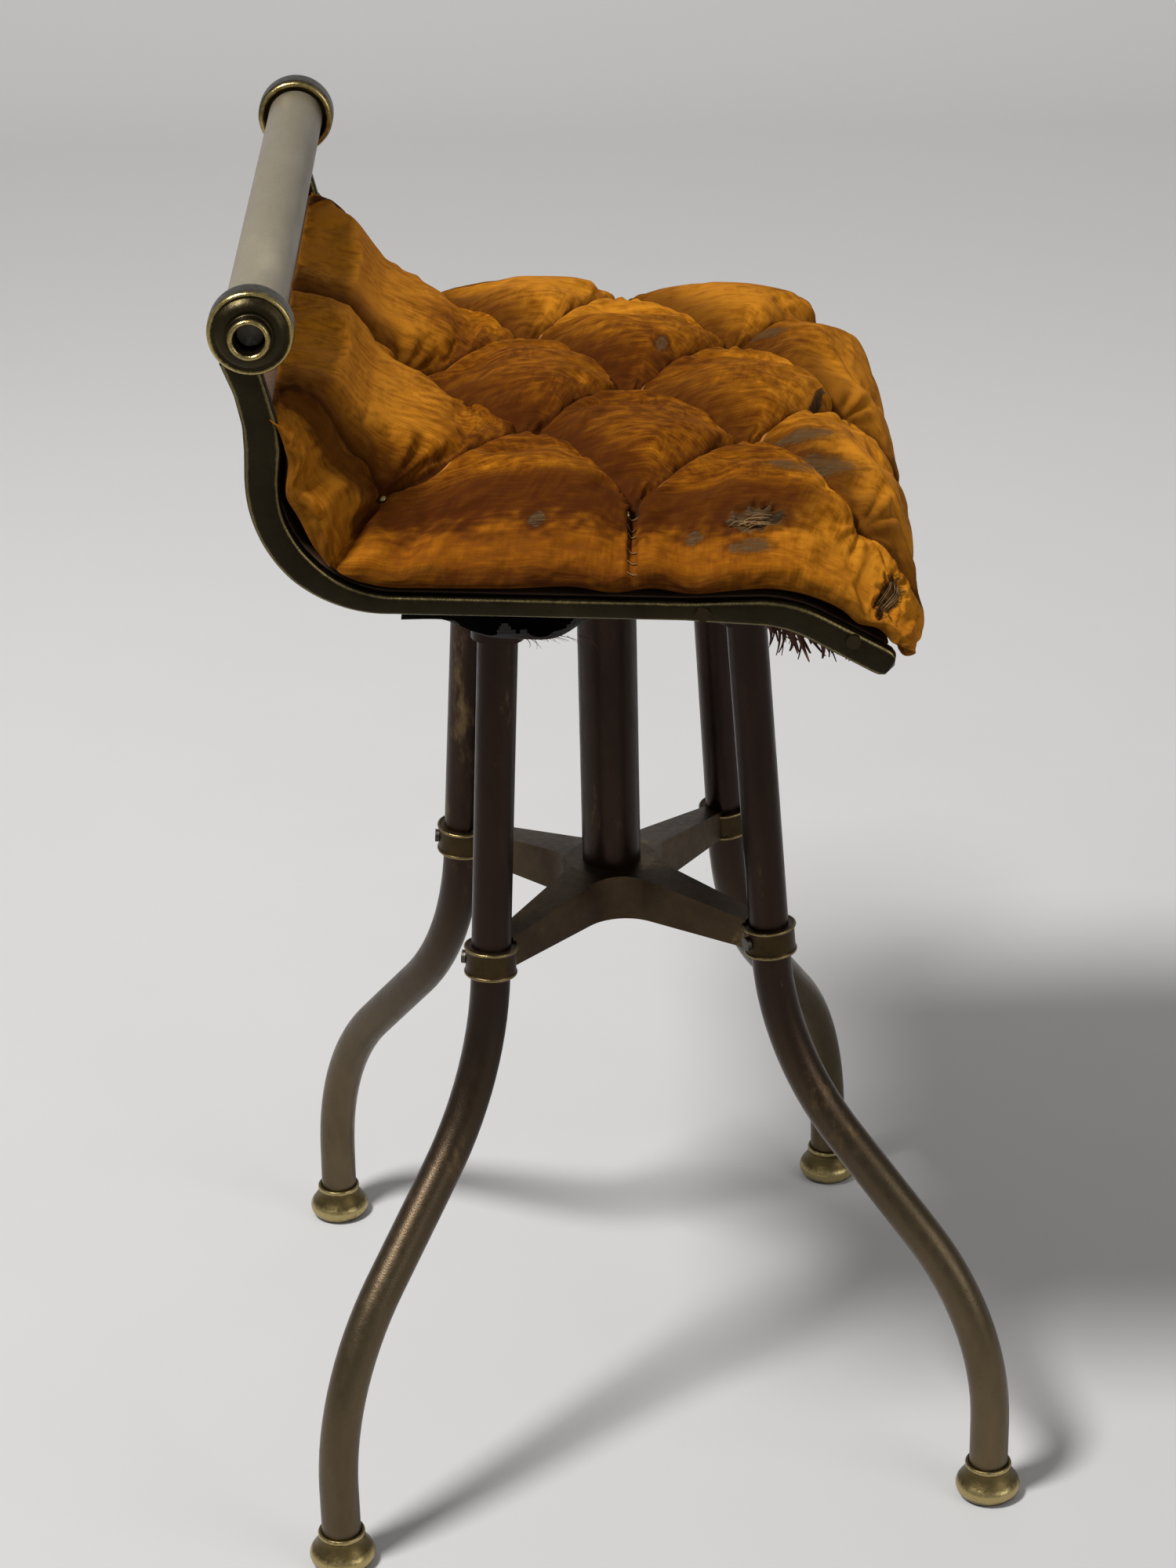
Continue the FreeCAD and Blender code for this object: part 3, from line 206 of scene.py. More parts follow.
@contextmanager
def editing(piece, chosen=None):
    """Edit mode on one piece: all of its mesh is selected, or only what chosen(mesh) lists."""
    pick(piece)
    bpy.ops.object.mode_set(mode="EDIT")
    bpy.ops.mesh.select_all(action="DESELECT" if chosen else "SELECT")
    if chosen:
        bpy.ops.object.mode_set(mode="OBJECT")
        for element in chosen(piece.data):
            element.select = True
        bpy.ops.object.mode_set(mode="EDIT")
    yield
    bpy.ops.object.mode_set(mode="OBJECT")


# %% Floor and backdrop
FLOOR_HALF = 3.0
BACKDROP_HEIGHT = 4.0
BACKDROP_BEND = 0.5


def back_edge(mesh):
    return [edge for edge in mesh.edges
            if all(mesh.vertices[index].co.y > FLOOR_HALF - 0.01 for index in edge.vertices)]


bpy.ops.mesh.primitive_plane_add(size=2 * FLOOR_HALF, location=(0, 0, 0))
floor = bpy.context.object
floor.name = "floor"
with editing(floor, back_edge):
    bpy.ops.mesh.extrude_region_move(TRANSFORM_OT_translate={"value": (0, 0, BACKDROP_HEIGHT)})
bend = floor.modifiers.new("bend", "BEVEL")
bend.width = BACKDROP_BEND
bend.segments = 12
bpy.ops.object.modifier_apply(modifier="bend")
bpy.ops.object.shade_smooth()
paper = Finish("pale_paper", Roughness=0.9)
grain = paper.noise(6.0, 3.0)
# Painted light: the paper is darker towards the camera and lighter up the backdrop, standing in for how the
# light falls on floor and wall.
painted_light_falloff = paper.step(paper.axis(paper.place, 1) + (grain - 0.5) * 0.2, -0.5, 1.6)
paper.feed(Base_Color=paper.blend(painted_light_falloff, (190, 189, 188), (230, 229, 228)))
floor.data.materials.append(paper.material)
print("floor and backdrop:", len(floor.data.polygons), "faces")

# %% Lamps and world
SEAT_MIDDLE = Vector((0.0, 0.0, 0.45))
SKY_STRENGTH = 0.23


def lamp(name, place, size, watts):
    """A round lamp of some size in metres that looks at the seat."""
    light = bpy.data.lights.new(name, "AREA")
    light.shape = "DISK"
    light.size = size
    light.energy = watts
    holder = bpy.data.objects.new(name, light)
    holder.location = place
    holder.rotation_euler = (SEAT_MIDDLE - Vector(place)).to_track_quat("-Z", "Y").to_euler()
    scene.collection.objects.link(holder)


lamp("key_lamp", (-1.05, -0.85, 2.5), 0.55, 80)
lamp("fill_lamp", (2.2, -1.6, 1.5), 1.8, 18)

world = bpy.data.worlds.new("world")
world.use_nodes = True
scene.world = world
sky = world.node_tree.nodes
sky.clear()
air = sky.new("ShaderNodeBackground")
air.inputs["Color"].default_value = (1.0, 1.0, 1.0, 1.0)
air.inputs["Strength"].default_value = SKY_STRENGTH
world.node_tree.links.new(air.outputs[0], sky.new("ShaderNodeOutputWorld").inputs[0])
scene.view_settings.view_transform = "Standard"
print("lamps:", [light.name for light in bpy.data.lights])

# %% [markdown]
# ## Metals
# All the metal is old and hasn't been polished for long. The leg tubes are a dark bronze, worn paler low
# down where feet rub them; the castings are brass gone olive brown, bright only on the edges that hands
# and feet touch. Cloudy noise at two sizes makes the tarnish, and its own finer noise the
# roughness, so a highlight breaks up as it does on a real dull tube.

# %% Metal finishes
def worn_metal(name, dark, middle, bright, gloss, rub=0.5, lumps=28.0, stretch=(1.0, 1.0, 1.0), shine=0.9,
               low=False):
    """Tarnished metal: dark in the dull places and bright where it is rubbed."""
    metal = Finish(name, Metallic=shine)
    cloud = metal.noise(lumps, 6.0, stretch, 0.62)
    fine = metal.noise(lumps * 9, 5.0, stretch, 0.6)
    patch = metal.clamp(cloud * 1.6 - 0.3)
    tone = metal.blend(patch, dark, middle)
    if low:
        kicked = metal.below(metal.axis(metal.place, 2) + (cloud - 0.5) * 0.14, 0.08, 0.3)
        tone = metal.blend(kicked * 0.75, tone, metal.blend(patch, (84, 72, 54), (126, 110, 82)))
    rubbed = metal.step(cloud + fine * 0.35, 0.86 - 0.2 * rub, 1.02 - 0.1 * rub)
    tone = metal.blend(rubbed, tone, bright)
    specks = metal.step(metal.noise(900.0, 2.0), 0.68, 0.74)
    tone = metal.blend(specks * 0.5, tone, dark)
    metal.feed(Base_Color=tone, Roughness=metal.clamp(fine * 0.35 + (gloss - 0.17) + specks * 0.2),
               Normal=metal.bump(fine * 0.6 + metal.noise(lumps * 40, 3.0), 0.00012))
    return metal


leg_bronze = worn_metal("leg_bronze", (32, 23, 21), (58, 43, 34), (112, 92, 62), 0.36, rub=0.4,
                        stretch=(1.0, 1.0, 0.35), low=True)
old_brass = worn_metal("old_brass", (72, 62, 36), (126, 110, 66), (186, 164, 100), 0.34, rub=0.7)
casting = worn_metal("casting", (42, 32, 23), (86, 69, 46), (130, 108, 70), 0.4)
rail_olive = worn_metal("rail_olive", (34, 28, 18), (58, 48, 30), (92, 78, 48), 0.4)
nickel = worn_metal("worn_nickel", (108, 100, 82), (130, 120, 99), (150, 140, 117), 0.4, rub=0.2, lumps=9.0,
                    stretch=(1.0, 0.3, 1.0), shine=0.3)
steel = worn_metal("old_steel", (60, 54, 46), (104, 98, 88), (146, 140, 128), 0.4, rub=0.6, lumps=60.0)
iron = worn_metal("cast_iron", (34, 32, 30), (52, 48, 44), (80, 74, 66), 0.6, lumps=50.0, shine=0.6)
print("finishes so far:", len(bpy.data.materials))

# %% [markdown]
# ## Wood and cloth
# Under the velvet the seat is plain hardwood. The boards show only from below, so their grain runs along X,
# made by noise that is squeezed hard across it. The lining is a thin black cloth with a plain weave.

# %% Wood finish
def plain_wood(name, dark, light):
    wood = Finish(name, Roughness=0.62)
    fibre = wood.noise(36.0, 6.0, (0.5, 9.0, 9.0), 0.6)
    broad = wood.noise(7.0, 2.0, (0.6, 3.0, 3.0))
    tone = wood.blend(wood.clamp(fibre * 1.5 - 0.3 + broad * 0.3), dark, light)
    wood.feed(Base_Color=tone, Normal=wood.bump(fibre, 0.0003))
    return wood


board_wood = plain_wood("board_wood", (44, 30, 22), (92, 66, 44))
plug_wood = plain_wood("plug_wood", (56, 38, 26), (104, 76, 50))

# %% Lining finish
YARNS = 420.0
lining = Finish("lining_cloth", Roughness=0.95)
warp, weft = (lining.node("TexWave", {"Vector": lining.place, "Scale": YARNS}, {"bands_direction": way})
              for way in "XY")
dust = lining.noise(24.0, 6.0)
lining.feed(Base_Color=lining.blend(dust * (warp + weft) * 0.6, (9, 8, 7), (34, 29, 25)),
            Normal=lining.bump(warp + weft, 0.0002))

# %% [markdown]
# ## Dressing the solids
# Each node of the frame takes the finish of its piece. Nothing is moved: only the material is changed.

# %% Give every node its finish
DRESS = {
    leg_bronze: ["leg_tube_front_right", "leg_tube_front_left", "leg_tube_rear_left", "leg_tube_rear_right",
                 "column_tube", "column_plug", "top_spider"],
    casting: ["cross_stretcher"],
    old_brass: ["foot_caps", "screw_bush"],
    rail_olive: ["side_rail_left", "side_rail_right", "rail_screws"],
    nickel: ["grab_rail"],
    steel: ["collar_screws", "socket_screws", "bush_screws", "hub_screw", "stop_washer", "height_screw",
            "stop_nut", "flange_screws", "end_screws", "tuft_tacks"],
    iron: ["seat_flange"],
    board_wood: ["seat_board", "back_board", "front_apron"],
    plug_wood: ["grab_plug_left", "grab_plug_right"],
    lining: ["bottom_lining", "cushion"],
}
for finish, names in DRESS.items():
    for name in names:
        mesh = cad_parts[name].data
        mesh.materials.clear()
        mesh.materials.append(finish.material)
dressed = sum(len(names) for names in DRESS.values())
print("dressed", dressed, "of", len(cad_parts), "nodes")

# %% [markdown]
# ## The line of the seat
# Seen from the side, the boards, the rails and the cushion follow one line: down the back, round a bend of
# 60 mm, along the seat with a little fall, and down over the front. A point of the cushion is easiest to
# give as a distance along this line and a height above it, so the line comes first.

# %% Line of the seat
FALL = radians(2.8)
DIP = radians(30)
BEND = 0.060
ARM_BACK = -0.159
SEAT_START = Vector((-0.10193, 0, 0.5416))
SEAT_RUN = 0.17214
BACK_ARC = BEND * (pi / 2 - FALL)
FRONT_ARC = BEND * (DIP - FALL)
LIP = 0.036
BACK_TOP = -0.0325
LINE_END = BACK_ARC + SEAT_RUN + FRONT_ARC + LIP


def forward(heading):
    return Vector((cos(heading), 0, sin(heading)))


def upward(heading):
    return Vector((-sin(heading), 0, cos(heading)))


BACK_CENTRE = SEAT_START + upward(-FALL) * BEND
FRONT_CENTRE = SEAT_START + forward(-FALL) * SEAT_RUN - upward(-FALL) * BEND


def beside_line(distance, offset):
    """The point at a distance along the line and an offset above it, on the cushion's side."""
    spot, heading = Vector((ARM_BACK, 0, BACK_CENTRE.z - distance)), -pi / 2
    if distance > 0:
        heading = min(distance / BEND - pi / 2, -FALL)
        spot = BACK_CENTRE - upward(heading) * BEND
    if distance > BACK_ARC:
        spot = SEAT_START + forward(-FALL) * min(distance - BACK_ARC, SEAT_RUN)
    if distance > BACK_ARC + SEAT_RUN:
        beyond = distance - BACK_ARC - SEAT_RUN
        heading = -FALL - min(beyond / BEND, DIP - FALL)
        spot = FRONT_CENTRE + upward(heading) * BEND + forward(heading) * max(beyond - FRONT_ARC, 0)
    return spot + upward(heading) * offset


print("line of the seat:", round(LINE_END * 1000), "mm long")

# %% Edges of the rails beside the line
# Each station is a distance along the line and then, in millimetres, how far the rail reaches outwards and
# inwards from the line and how far above it the cushion's edge lies. Past the arm the three are the same.
ARM = 0.0399
ARM_TOP = BACK_CENTRE.z - 0.6777
ALIKE = [
    (BACK_ARC * 0.2, 7.5), (BACK_ARC * 0.5, 7.2), (BACK_ARC * 0.75, 5.78), (BACK_ARC, 4.65),
    (BACK_ARC + SEAT_RUN * 0.8, 4.65), (BACK_ARC + SEAT_RUN * 0.9, 5.58), (BACK_ARC + SEAT_RUN, 6.38),
    (BACK_ARC + SEAT_RUN + FRONT_ARC / 2, 6.82), (LINE_END - LIP, 7.11), (LINE_END, 7.25),
]
RAIL_STATIONS = np.array([
    (ARM_TOP + 0.4 * ARM, 16.0, 2.4, -1.44), (ARM_TOP + 0.77 * ARM, 10.4, 5.8, 1.82),
    (ARM_TOP + 1.15 * ARM, 7.4, 9.4, 6.53), (ARM_TOP + 1.45 * ARM, 7.2, 10.1, 8.25),
    (ARM_TOP + 1.8 * ARM, 7.88, 8.4, 7.28), *((distance, half, half, half) for distance, half in ALIKE),
])


def rail_edges(distance):
    """The rail's two reaches and the cushion's edge at a distance, in metres."""
    return [float(np.interp(distance, RAIL_STATIONS[:, 0], reach)) / 1000 for reach in RAIL_STATIONS[:, 1:].T]


# %% [markdown]
# ## The cushion's plain form
# Before its buttons are pulled down, the pad is a crown on that line: low at the top of the back, fullest
# over the bend, and rounded off over the front edge. It is told by stations, each with its place along the
# line, its height and the way it leans, and a smooth curve runs through them. u counts along the seat and
# v across it, and the buttons sit where both are even or both are odd, so the pattern is easy to write.

# %% Stations of the pad
CROWN = 0.0465
PAD_GAP = 0.0013
PAD_RIM = 0.0042
BASE_HALF = 0.172
NOSE_START = 3.2
NOSE_END = 4.0
NOSE_TURN = radians(95)
LIP_HALF = 0.00725
EDGE_WAVE = 0.0016
# Along: u, share of the line, share of the crown's height, and the lean in degrees.
PAD_STATIONS = np.array([
    (-4.2, 0.0, 0.053, 130.0), (-3.6, 0.033, 0.44, 49.6), (-3.0, 0.078, 0.70, 33.7),
    (-2.5, 0.145, 0.93, 33.7), (-2.0, 0.244, 1.06, 45.0), (-1.0, 0.489, 1.05, 76.4), (0.0, 0.656, 1.0, 88.8),
    (1.0, 0.806, 0.95, 84.8), (2.0, 0.915, 0.87, 68.0), (2.6, 0.958, 0.68, 46.0), (3.2, 1.0, 0.42, 17.0),
    (3.7, 1.0, 0.24, -23.6), (4.0, 1.0, 0.12, -60.0),
])
# Across: v, metres from the middle, and share of the height.
SIDE_STATIONS = np.array([
    (0.0, 0.0, 1.0), (1.0, 0.071, 1.0), (1.5, 0.109, 0.985), (1.85, 0.137, 0.93), (2.0, 0.147, 0.88),
    (2.15, 0.154, 0.79), (2.35, 0.161, 0.61), (2.55, 0.169, 0.45), (2.72, 0.178, 0.32), (2.86, 0.184, 0.19),
    (3.0, 0.181, 0.0),
])


def smooth_curve(knots, rows):
    """A smooth curve through rows of values: the slope at each knot is the mean of its two sides."""
    slopes = np.gradient(rows, knots, axis=0)

    def at(where):
        index = int(np.clip(np.searchsorted(knots, where) - 1, 0, len(knots) - 2))
        width = knots[index + 1] - knots[index]
        t = (where - knots[index]) / width
        return ((2 * t**3 - 3 * t**2 + 1) * rows[index] + (t**3 - 2 * t**2 + t) * width * slopes[index]
                + (3 * t**2 - 2 * t**3) * rows[index + 1] + (t**3 - t**2) * width * slopes[index + 1])

    return at


pad_along = smooth_curve(PAD_STATIONS[:, 0], PAD_STATIONS[:, 1:])
pad_across = smooth_curve(SIDE_STATIONS[:, 0], SIDE_STATIONS[:, 1:])
print("pad:", len(PAD_STATIONS), "stations along,", len(SIDE_STATIONS), "across")

# %% A point of the plain pad
def pad_foot(u):
    if u < NOSE_START:
        distance = BACK_TOP + min(max(pad_along(u)[0], 0), 1) * (LINE_END - BACK_TOP)
        return beside_line(distance, rail_edges(distance)[2] + PAD_GAP)
    turn = pi / 2 - DIP - NOSE_TURN * (u - NOSE_START) / (NOSE_END - NOSE_START)
    return beside_line(LINE_END, 0) + forward(turn) * (LIP_HALF + PAD_GAP)


def pad_point(u, v, sink=0.0):
    """A point of the skin at u and v, sunk by some metres towards the boards."""
    if u > 3 and abs(v) > 2:
        u -= (u - 3) * 0.8 * (abs(v) - 2) ** 1.6
    _, stand, lean = pad_along(u)
    across, share = pad_across(abs(v))
    tall = stand * CROWN
    rim = min(PAD_RIM + EDGE_WAVE * sin(u * 5.1 + 2 * sin(u * 2.3)), tall)
    rise = rim + (tall - rim) * share
    spot = pad_foot(u) + forward(radians(lean)) * (rise - min(sink * min(1, stand), rise - rim))
    return Vector((spot.x, copysign(across, v), spot.z))


# %% [markdown]
# ## The pull of the buttons
# Deep buttoning folds the spare velvet into pleats that run from button to button. Inside the field each
# puff is a square standing on its corner, and its sides are the pleats. Past the outer buttons the pleats
# run straight to the edges. `nearness` is 0 on a pleat and 1 at the middle of a puff.

# %% Pleats and buttons
BUNCH_U, BUNCH_V = 4.1, -2.1
TUFTS = [(u, v) for u in (-2, 0, 2) for v in (-2, 0, 2)] + [(u, v) for u in (-1, 1) for v in (-1, 1)]


def lobes(value):
    return abs(sin(pi * value / 2))


def nearness(u, v):
    """0 on a pleat, 1 at the middle of a puff, and how far outside the field the point is."""
    over_u, over_v = max(abs(u) - 2, 0), max(abs(v) - 2, 0)
    if over_u and over_v:
        inner = min(sin(min(over_u, 1) * pi / 2), sin(min(over_v, 1) * pi / 2))
    elif over_u:
        inner = lobes(v)
    elif over_v:
        inner = lobes(u)
    else:
        inner = min(lobes(u + v), lobes(u - v))
    return inner, max(over_u, over_v)


def puckers(u, v):
    """Small folds that run out from each button, deepest at the buttons along the back and the front."""
    folds = 0.0
    for tuft_u, tuft_v in TUFTS:
        away = hypot(u - tuft_u, v - tuft_v)
        if away < 0.95:
            turn = atan2(v - tuft_v, u - tuft_u)
            phase = tuft_u * 1.7 + tuft_v * 2.9
            reach, size = (0.34, 0.085) if abs(tuft_u) == 2 else (0.2, 0.03)
            ring = size * exp(-((away - reach) / (reach * 0.6)) ** 2)
            folds += ring * cos(9 * turn + phase + 1.5 * sin(turn * 3 + phase))
    return folds


def gathers(u, v):
    """The loose folds at the near front corner, where the spare cloth was nailed down in a bunch."""
    away = hypot(u - BUNCH_U, v - BUNCH_V)
    turn = atan2(v - BUNCH_V, u - BUNCH_U)
    near = exp(-((away - 1.15) / 0.55) ** 2) * (1 if v < -1.9 else max(0.0, 1 - (-1.9 - v) ** 2 * 9))
    return near * (cos(13 * turn + 2.2 * sin(3.1 * away)) + 0.5 * cos(23 * turn + 4 * away))


def pull(u, v):
    """How deep the pattern is at a point, 0 on the crowns and 1 at a button."""
    inner, outside = nearness(u, v)
    held_u, held_v = max(-2, min(2, u)), max(-2, min(2, v))
    pit = (1 - lobes(held_u + held_v)) * (1 - lobes(held_u - held_v))
    fade = max(0.0, 1 - outside / 1.15)
    tuck = ((held_u + held_v) % 2 - (held_u - held_v) % 2) / 2
    narrow = 7 + 3 * tanh(3 * tuck)
    if v < -2:
        fade *= max(0.0, 1 - max(u - 1.2, 0) * 1.6)
        narrow += 20 * min(-2 - v, 0.4) * max(0, 1 - abs(u) / 1.5)
    depth = 0.3 * (1 - inner) ** narrow * fade
    sunk = (0.72 - 0.08 * v * v - 0.04 * u * u) * pit ** (1 + 0.25 * abs(held_v))
    depth += sunk * max(0.0, 1 - outside / 0.4)
    if v < -2:
        depth += 0.4 * exp(-((u + 2) / 0.16) ** 2) * min(1, (-2 - v) * 4)
    return depth + puckers(u, v) + 0.09 * gathers(u, v) + 0.05


SLIDE = Vector((0.0125, 0.0125, 0.0))


def slide(u, v):
    """How far a crown has slid over the pleats behind it: most at its middle, nothing on a pleat."""
    inner, outside = nearness(u, v)
    fade = max(0.0, 1 - outside / 0.6) * min(1, max(0.0, (2.9 - abs(v)) * 1.2))
    return SLIDE * (min(1, inner * 1.35) * fade)


# %% The skin of the cushion
TUFT_DEPTH = 0.0165
ROWS_U = 164
ROWS_V = 136
bpy.ops.mesh.primitive_grid_add(x_subdivisions=ROWS_U, y_subdivisions=ROWS_V, size=2)
cushion = bpy.context.object
cushion.name = cushion.data.name = "velvet_cushion"
v_steps = np.concatenate([np.linspace(-3, -2, 29), np.linspace(-2, 2, 81)[1:], np.linspace(2, 3, 29)[1:]])
u_steps = np.linspace(-4.2, NOSE_END, ROWS_U + 1)
lattice = []
for vertex in cushion.data.vertices:
    u = float(np.interp((vertex.co.x + 1) / 2, np.linspace(0, 1, ROWS_U + 1), u_steps))
    v = float(np.interp((vertex.co.y + 1) / 2, np.linspace(0, 1, ROWS_V + 1), v_steps))
    lattice.append((u, v, 0.0))
    vertex.co = pad_point(u, v, TUFT_DEPTH * pull(u, v)) + slide(u, v)
print("cushion skin:", len(cushion.data.vertices), "points")

# %% [markdown]
# ## Places on the cloth
# The pile runs with the cloth, so its streaks need to know where on the cloth a point is. Two attributes
# are kept on the points: the button pattern's own u and v, and the distances along and across the cloth.

# %% Attributes for the velvet
def keep_vectors(mesh, name, vectors):
    layer = mesh.attributes.new(name, "FLOAT_VECTOR", "POINT")
    layer.data.foreach_set("vector", np.array(vectors, dtype=np.float32).ravel())


def distances(points):
    """How far each point is from the first, measured from point to point."""
    return np.concatenate([[0.0], np.cumsum([(b - a).length for a, b in zip(points, points[1:])])])


along = distances([pad_point(u, 0) for u in u_steps])
across = distances([pad_point(0, v) for v in v_steps])
keep_vectors(cushion.data, "lattice", lattice)
keep_vectors(cushion.data, "on_cloth", [(np.interp(u, u_steps, along), np.interp(v, v_steps, across), 0.0)
                                        for u, v, _ in lattice])
print("cloth:", round(along[-1] * 1000), "by", round(across[-1] * 1000), "mm")

# %% [markdown]
# ## Filling the pad
# Real stuffing presses the velvet up between the buttons and leaves small wrinkles where the spare cloth
# gathers. A cloth simulation does the same: the buttons, the pleats and the nailed edges are held, the
# cloth is let grow a few percent, and pressure from inside does the rest. No point may move far.

# %% Simulate the stuffing
GROWTH = 0.05
CAP = 0.005
STEPS = 18
CLOTH_RULES = {
    "quality": 5, "mass": 0.25, "air_damping": 2.0, "tension_stiffness": 18, "compression_stiffness": 18,
    "shear_stiffness": 6, "bending_stiffness": 0.6, "vertex_group_mass": "held", "shrink_min": -GROWTH,
    "use_pressure": True, "uniform_pressure_force": 3.0,
}


def fill_with_stuffing(piece, held):
    """Blows the cloth up a little from inside, with the held points kept where they are."""
    before = np.array([vertex.co for vertex in piece.data.vertices])
    group = piece.vertex_groups.new(name="held")
    group.add(held, 1.0, "REPLACE")
    cloth = piece.modifiers.new("stuffing", "CLOTH")
    for rule, value in CLOTH_RULES.items():
        setattr(cloth.settings, rule, value)
    cloth.settings.effector_weights.gravity = 0
    cloth.point_cache.frame_end = STEPS
    for step in range(1, STEPS + 1):
        scene.frame_set(step)
    shaped = piece.evaluated_get(bpy.context.evaluated_depsgraph_get())
    moved = np.array([vertex.co for vertex in shaped.data.vertices]) - before
    length = np.linalg.norm(moved, axis=1, keepdims=True)
    piece.modifiers.remove(cloth)
    piece.vertex_groups.remove(group)
    capped = before + moved * np.minimum(1, CAP / np.maximum(length, 1e-9))
    piece.data.vertices.foreach_set("co", capped.ravel())
    scene.frame_set(1)
    print("stuffing moved the skin", round(float(length.mean()) * 1000, 1), "mm on average, at most",
          round(float(length.max()) * 1000, 1), "mm")


held = []
for index, (u, v, _) in enumerate(lattice):
    inner, outside = nearness(u, v)
    on_edge = abs(v) > 2.9 or u < -4.0 or u > NOSE_END - 0.4
    if on_edge or (inner < 0.07 and outside < 0.9):
        held.append(index)
fill_with_stuffing(cushion, held)

# %% [markdown]
# ## Closing the pad
# The skin is joined to a plain underside that lies just above the boards, so the cushion is one closed
# form with an inside. One level of subdivision then rounds the skin.

# %% Underside
def close_pad(piece):
    pad = bmesh.new()
    pad.from_mesh(piece.data)
    pad.verts.ensure_lookup_table()
    place = pad.verts.layers.float_vector["lattice"]
    rows = {}
    for vertex in pad.verts:
        rows.setdefault(round(vertex[place].x, 4), []).append(vertex)
    feet = []
    for u in sorted(rows):
        row = sorted(rows[u], key=lambda vertex: vertex[place].y)
        base = pad_foot(u - max(0, u - 3) * 0.8)
        near = pad.verts.new((base.x, -BASE_HALF, base.z))
        far = pad.verts.new((base.x, BASE_HALF, base.z))
        near[place], far[place] = Vector((u, -3.1, 0)), Vector((u, 3.1, 0))
        feet.append((near, row, far))
    for (near, row, far), (next_near, next_row, next_far) in zip(feet, feet[1:]):
        pad.faces.new((near, next_near, next_row[0], row[0]))
        pad.faces.new((row[-1], next_row[-1], next_far, far))
        pad.faces.new((far, next_far, next_near, near))
    for near, row, far in (feet[0], feet[-1]):
        pad.faces.new([near, *row, far])
    bmesh.ops.recalc_face_normals(pad, faces=pad.faces)
    if pad.calc_volume(signed=True) < 0:
        bmesh.ops.reverse_faces(pad, faces=pad.faces)
    pad.to_mesh(piece.data)
    pad.free()


close_pad(cushion)
cushion.modifiers.new("round", "SUBSURF").levels = 1
pick(cushion)
bpy.ops.object.modifier_apply(modifier="round")
cushion.data.polygons.foreach_set("use_smooth", [True] * len(cushion.data.polygons))
print("cushion:", len(cushion.data.polygons), "faces")

# %% [markdown]
# ## Creases, folds and tears
# Now that the points lie 1.5 mm apart, the pleats get their sharp bottom, and the puff on the near side of
# each pleat a rolled edge that leans over it. Short folds run out from the buttons of the first and last
# rows, and where the velvet is torn the skin sinks to the cotton beneath it.

# %% Sharpen the pleats and sink the tears
CREASE_DEPTH = 0.0034
ROLL_HEIGHT = 0.0016
TEARS = [(0.97, -2.36, 0.21, 0.13), (2.62, -2.45, 0.2, 0.3)]


def fine_folds(piece):
    mesh = piece.data
    count = len(mesh.vertices)
    spots, outward, places = (np.empty(count * 3, np.float32) for _ in range(3))
    mesh.vertices.foreach_get("co", spots)
    mesh.vertices.foreach_get("normal", outward)
    mesh.attributes["lattice"].data.foreach_get("vector", places)
    spots, outward = spots.reshape(-1, 3), outward.reshape(-1, 3)
    u, v = places.reshape(-1, 3)[:, 0], places.reshape(-1, 3)[:, 1]
    held_u, held_v = np.clip(u, -2, 2), np.clip(v, -2, 2)
    over_u, over_v = np.abs(u) - 2 > 0.001, np.abs(v) - 2 > 0.001
    wave_sum, wave_gap, wave_u, wave_v = (np.abs(np.sin(np.pi / 2 * part))
                                          for part in (held_u + held_v, held_u - held_v, u, v))
    inner = np.where(over_v, wave_u, np.minimum(wave_sum, wave_gap))
    inner = np.where(over_u, np.where(over_v, 1, wave_v), inner)
    inner = np.where((v < -2) & (u > 1), 1, inner)
    fade = np.clip(1.2 - np.maximum(np.abs(u) - 2, 0), 0, 1) * np.clip((3 - np.abs(v)) * 6, 0, 1)
    tuck = ((held_u + held_v) % 2 - (held_u - held_v) % 2) / 2
    rolled = np.exp(-((inner - 0.2) / 0.1) ** 2) * np.clip(tuck * 3, 0, 1) * ~over_v
    move = (ROLL_HEIGHT * rolled - CREASE_DEPTH * np.exp(-(inner / 0.07) ** 2)) * fade
    for tuft_u, tuft_v in TUFTS:
        away, turn = np.hypot(u - tuft_u, v - tuft_v), np.arctan2(v - tuft_v, u - tuft_u)
        reach = 0.3 if abs(tuft_u) == 2 else 0.16
        ring = np.exp(-((away - reach) / (reach * 0.6)) ** 2)
        move += 0.0011 * ring * np.cos(13 * turn + tuft_u + 2.1 * tuft_v + 1.2 * np.sin(2 * turn)) * fade
    for tear_u, tear_v, half_u, half_v in TEARS:
        ragged = 0.18 * np.sin(9 * np.arctan2(v - tear_v, u - tear_u)) + 0.1 * np.sin(40 * u + 31 * v)
        away = np.hypot((u - tear_u) / half_u, (v - tear_v) / half_v) + ragged
        move -= 0.0028 * np.clip((1.0 - away) * 5, 0, 1) - 0.0007 * np.exp(-((away - 1.15) / 0.15) ** 2)
    mesh.vertices.foreach_set("co", (spots + outward * move[:, None]).ravel())
    mesh.update()
    low, high = (round(float(end) * 1000, 1) for end in (move.min(), move.max()))
    print("folds between", low, "and", high, "mm")


fine_folds(cushion)

# %% [markdown]
# ## Velvet
# The pile of old velvet lies in streaks, bright where it leans towards the light and dark where it leans
# away, and the cloth's warp and weft give the streaks two directions at right angles. So two noises, each
# squeezed along one direction of the cloth, are laid over a broad one. Shade is painted into the colour in
# the pleats and under the rolled edges, and along the fold a thin pale line is laid. Sheen gives the soft
# edge light of pile.

# %% Velvet finish
velvet = Finish("worn_velvet_painted_light", Roughness=0.85, Sheen_Weight=0.15, Sheen_Roughness=0.35,
                Sheen_Tint=colour(226, 134, 30), Specular_IOR_Level=0.06)
cloth_place = velvet.stored("on_cloth", 1)
button_place = velvet.stored("lattice", 1)
lattice_u, lattice_v = velvet.axis(button_place, 0), velvet.axis(button_place, 1)


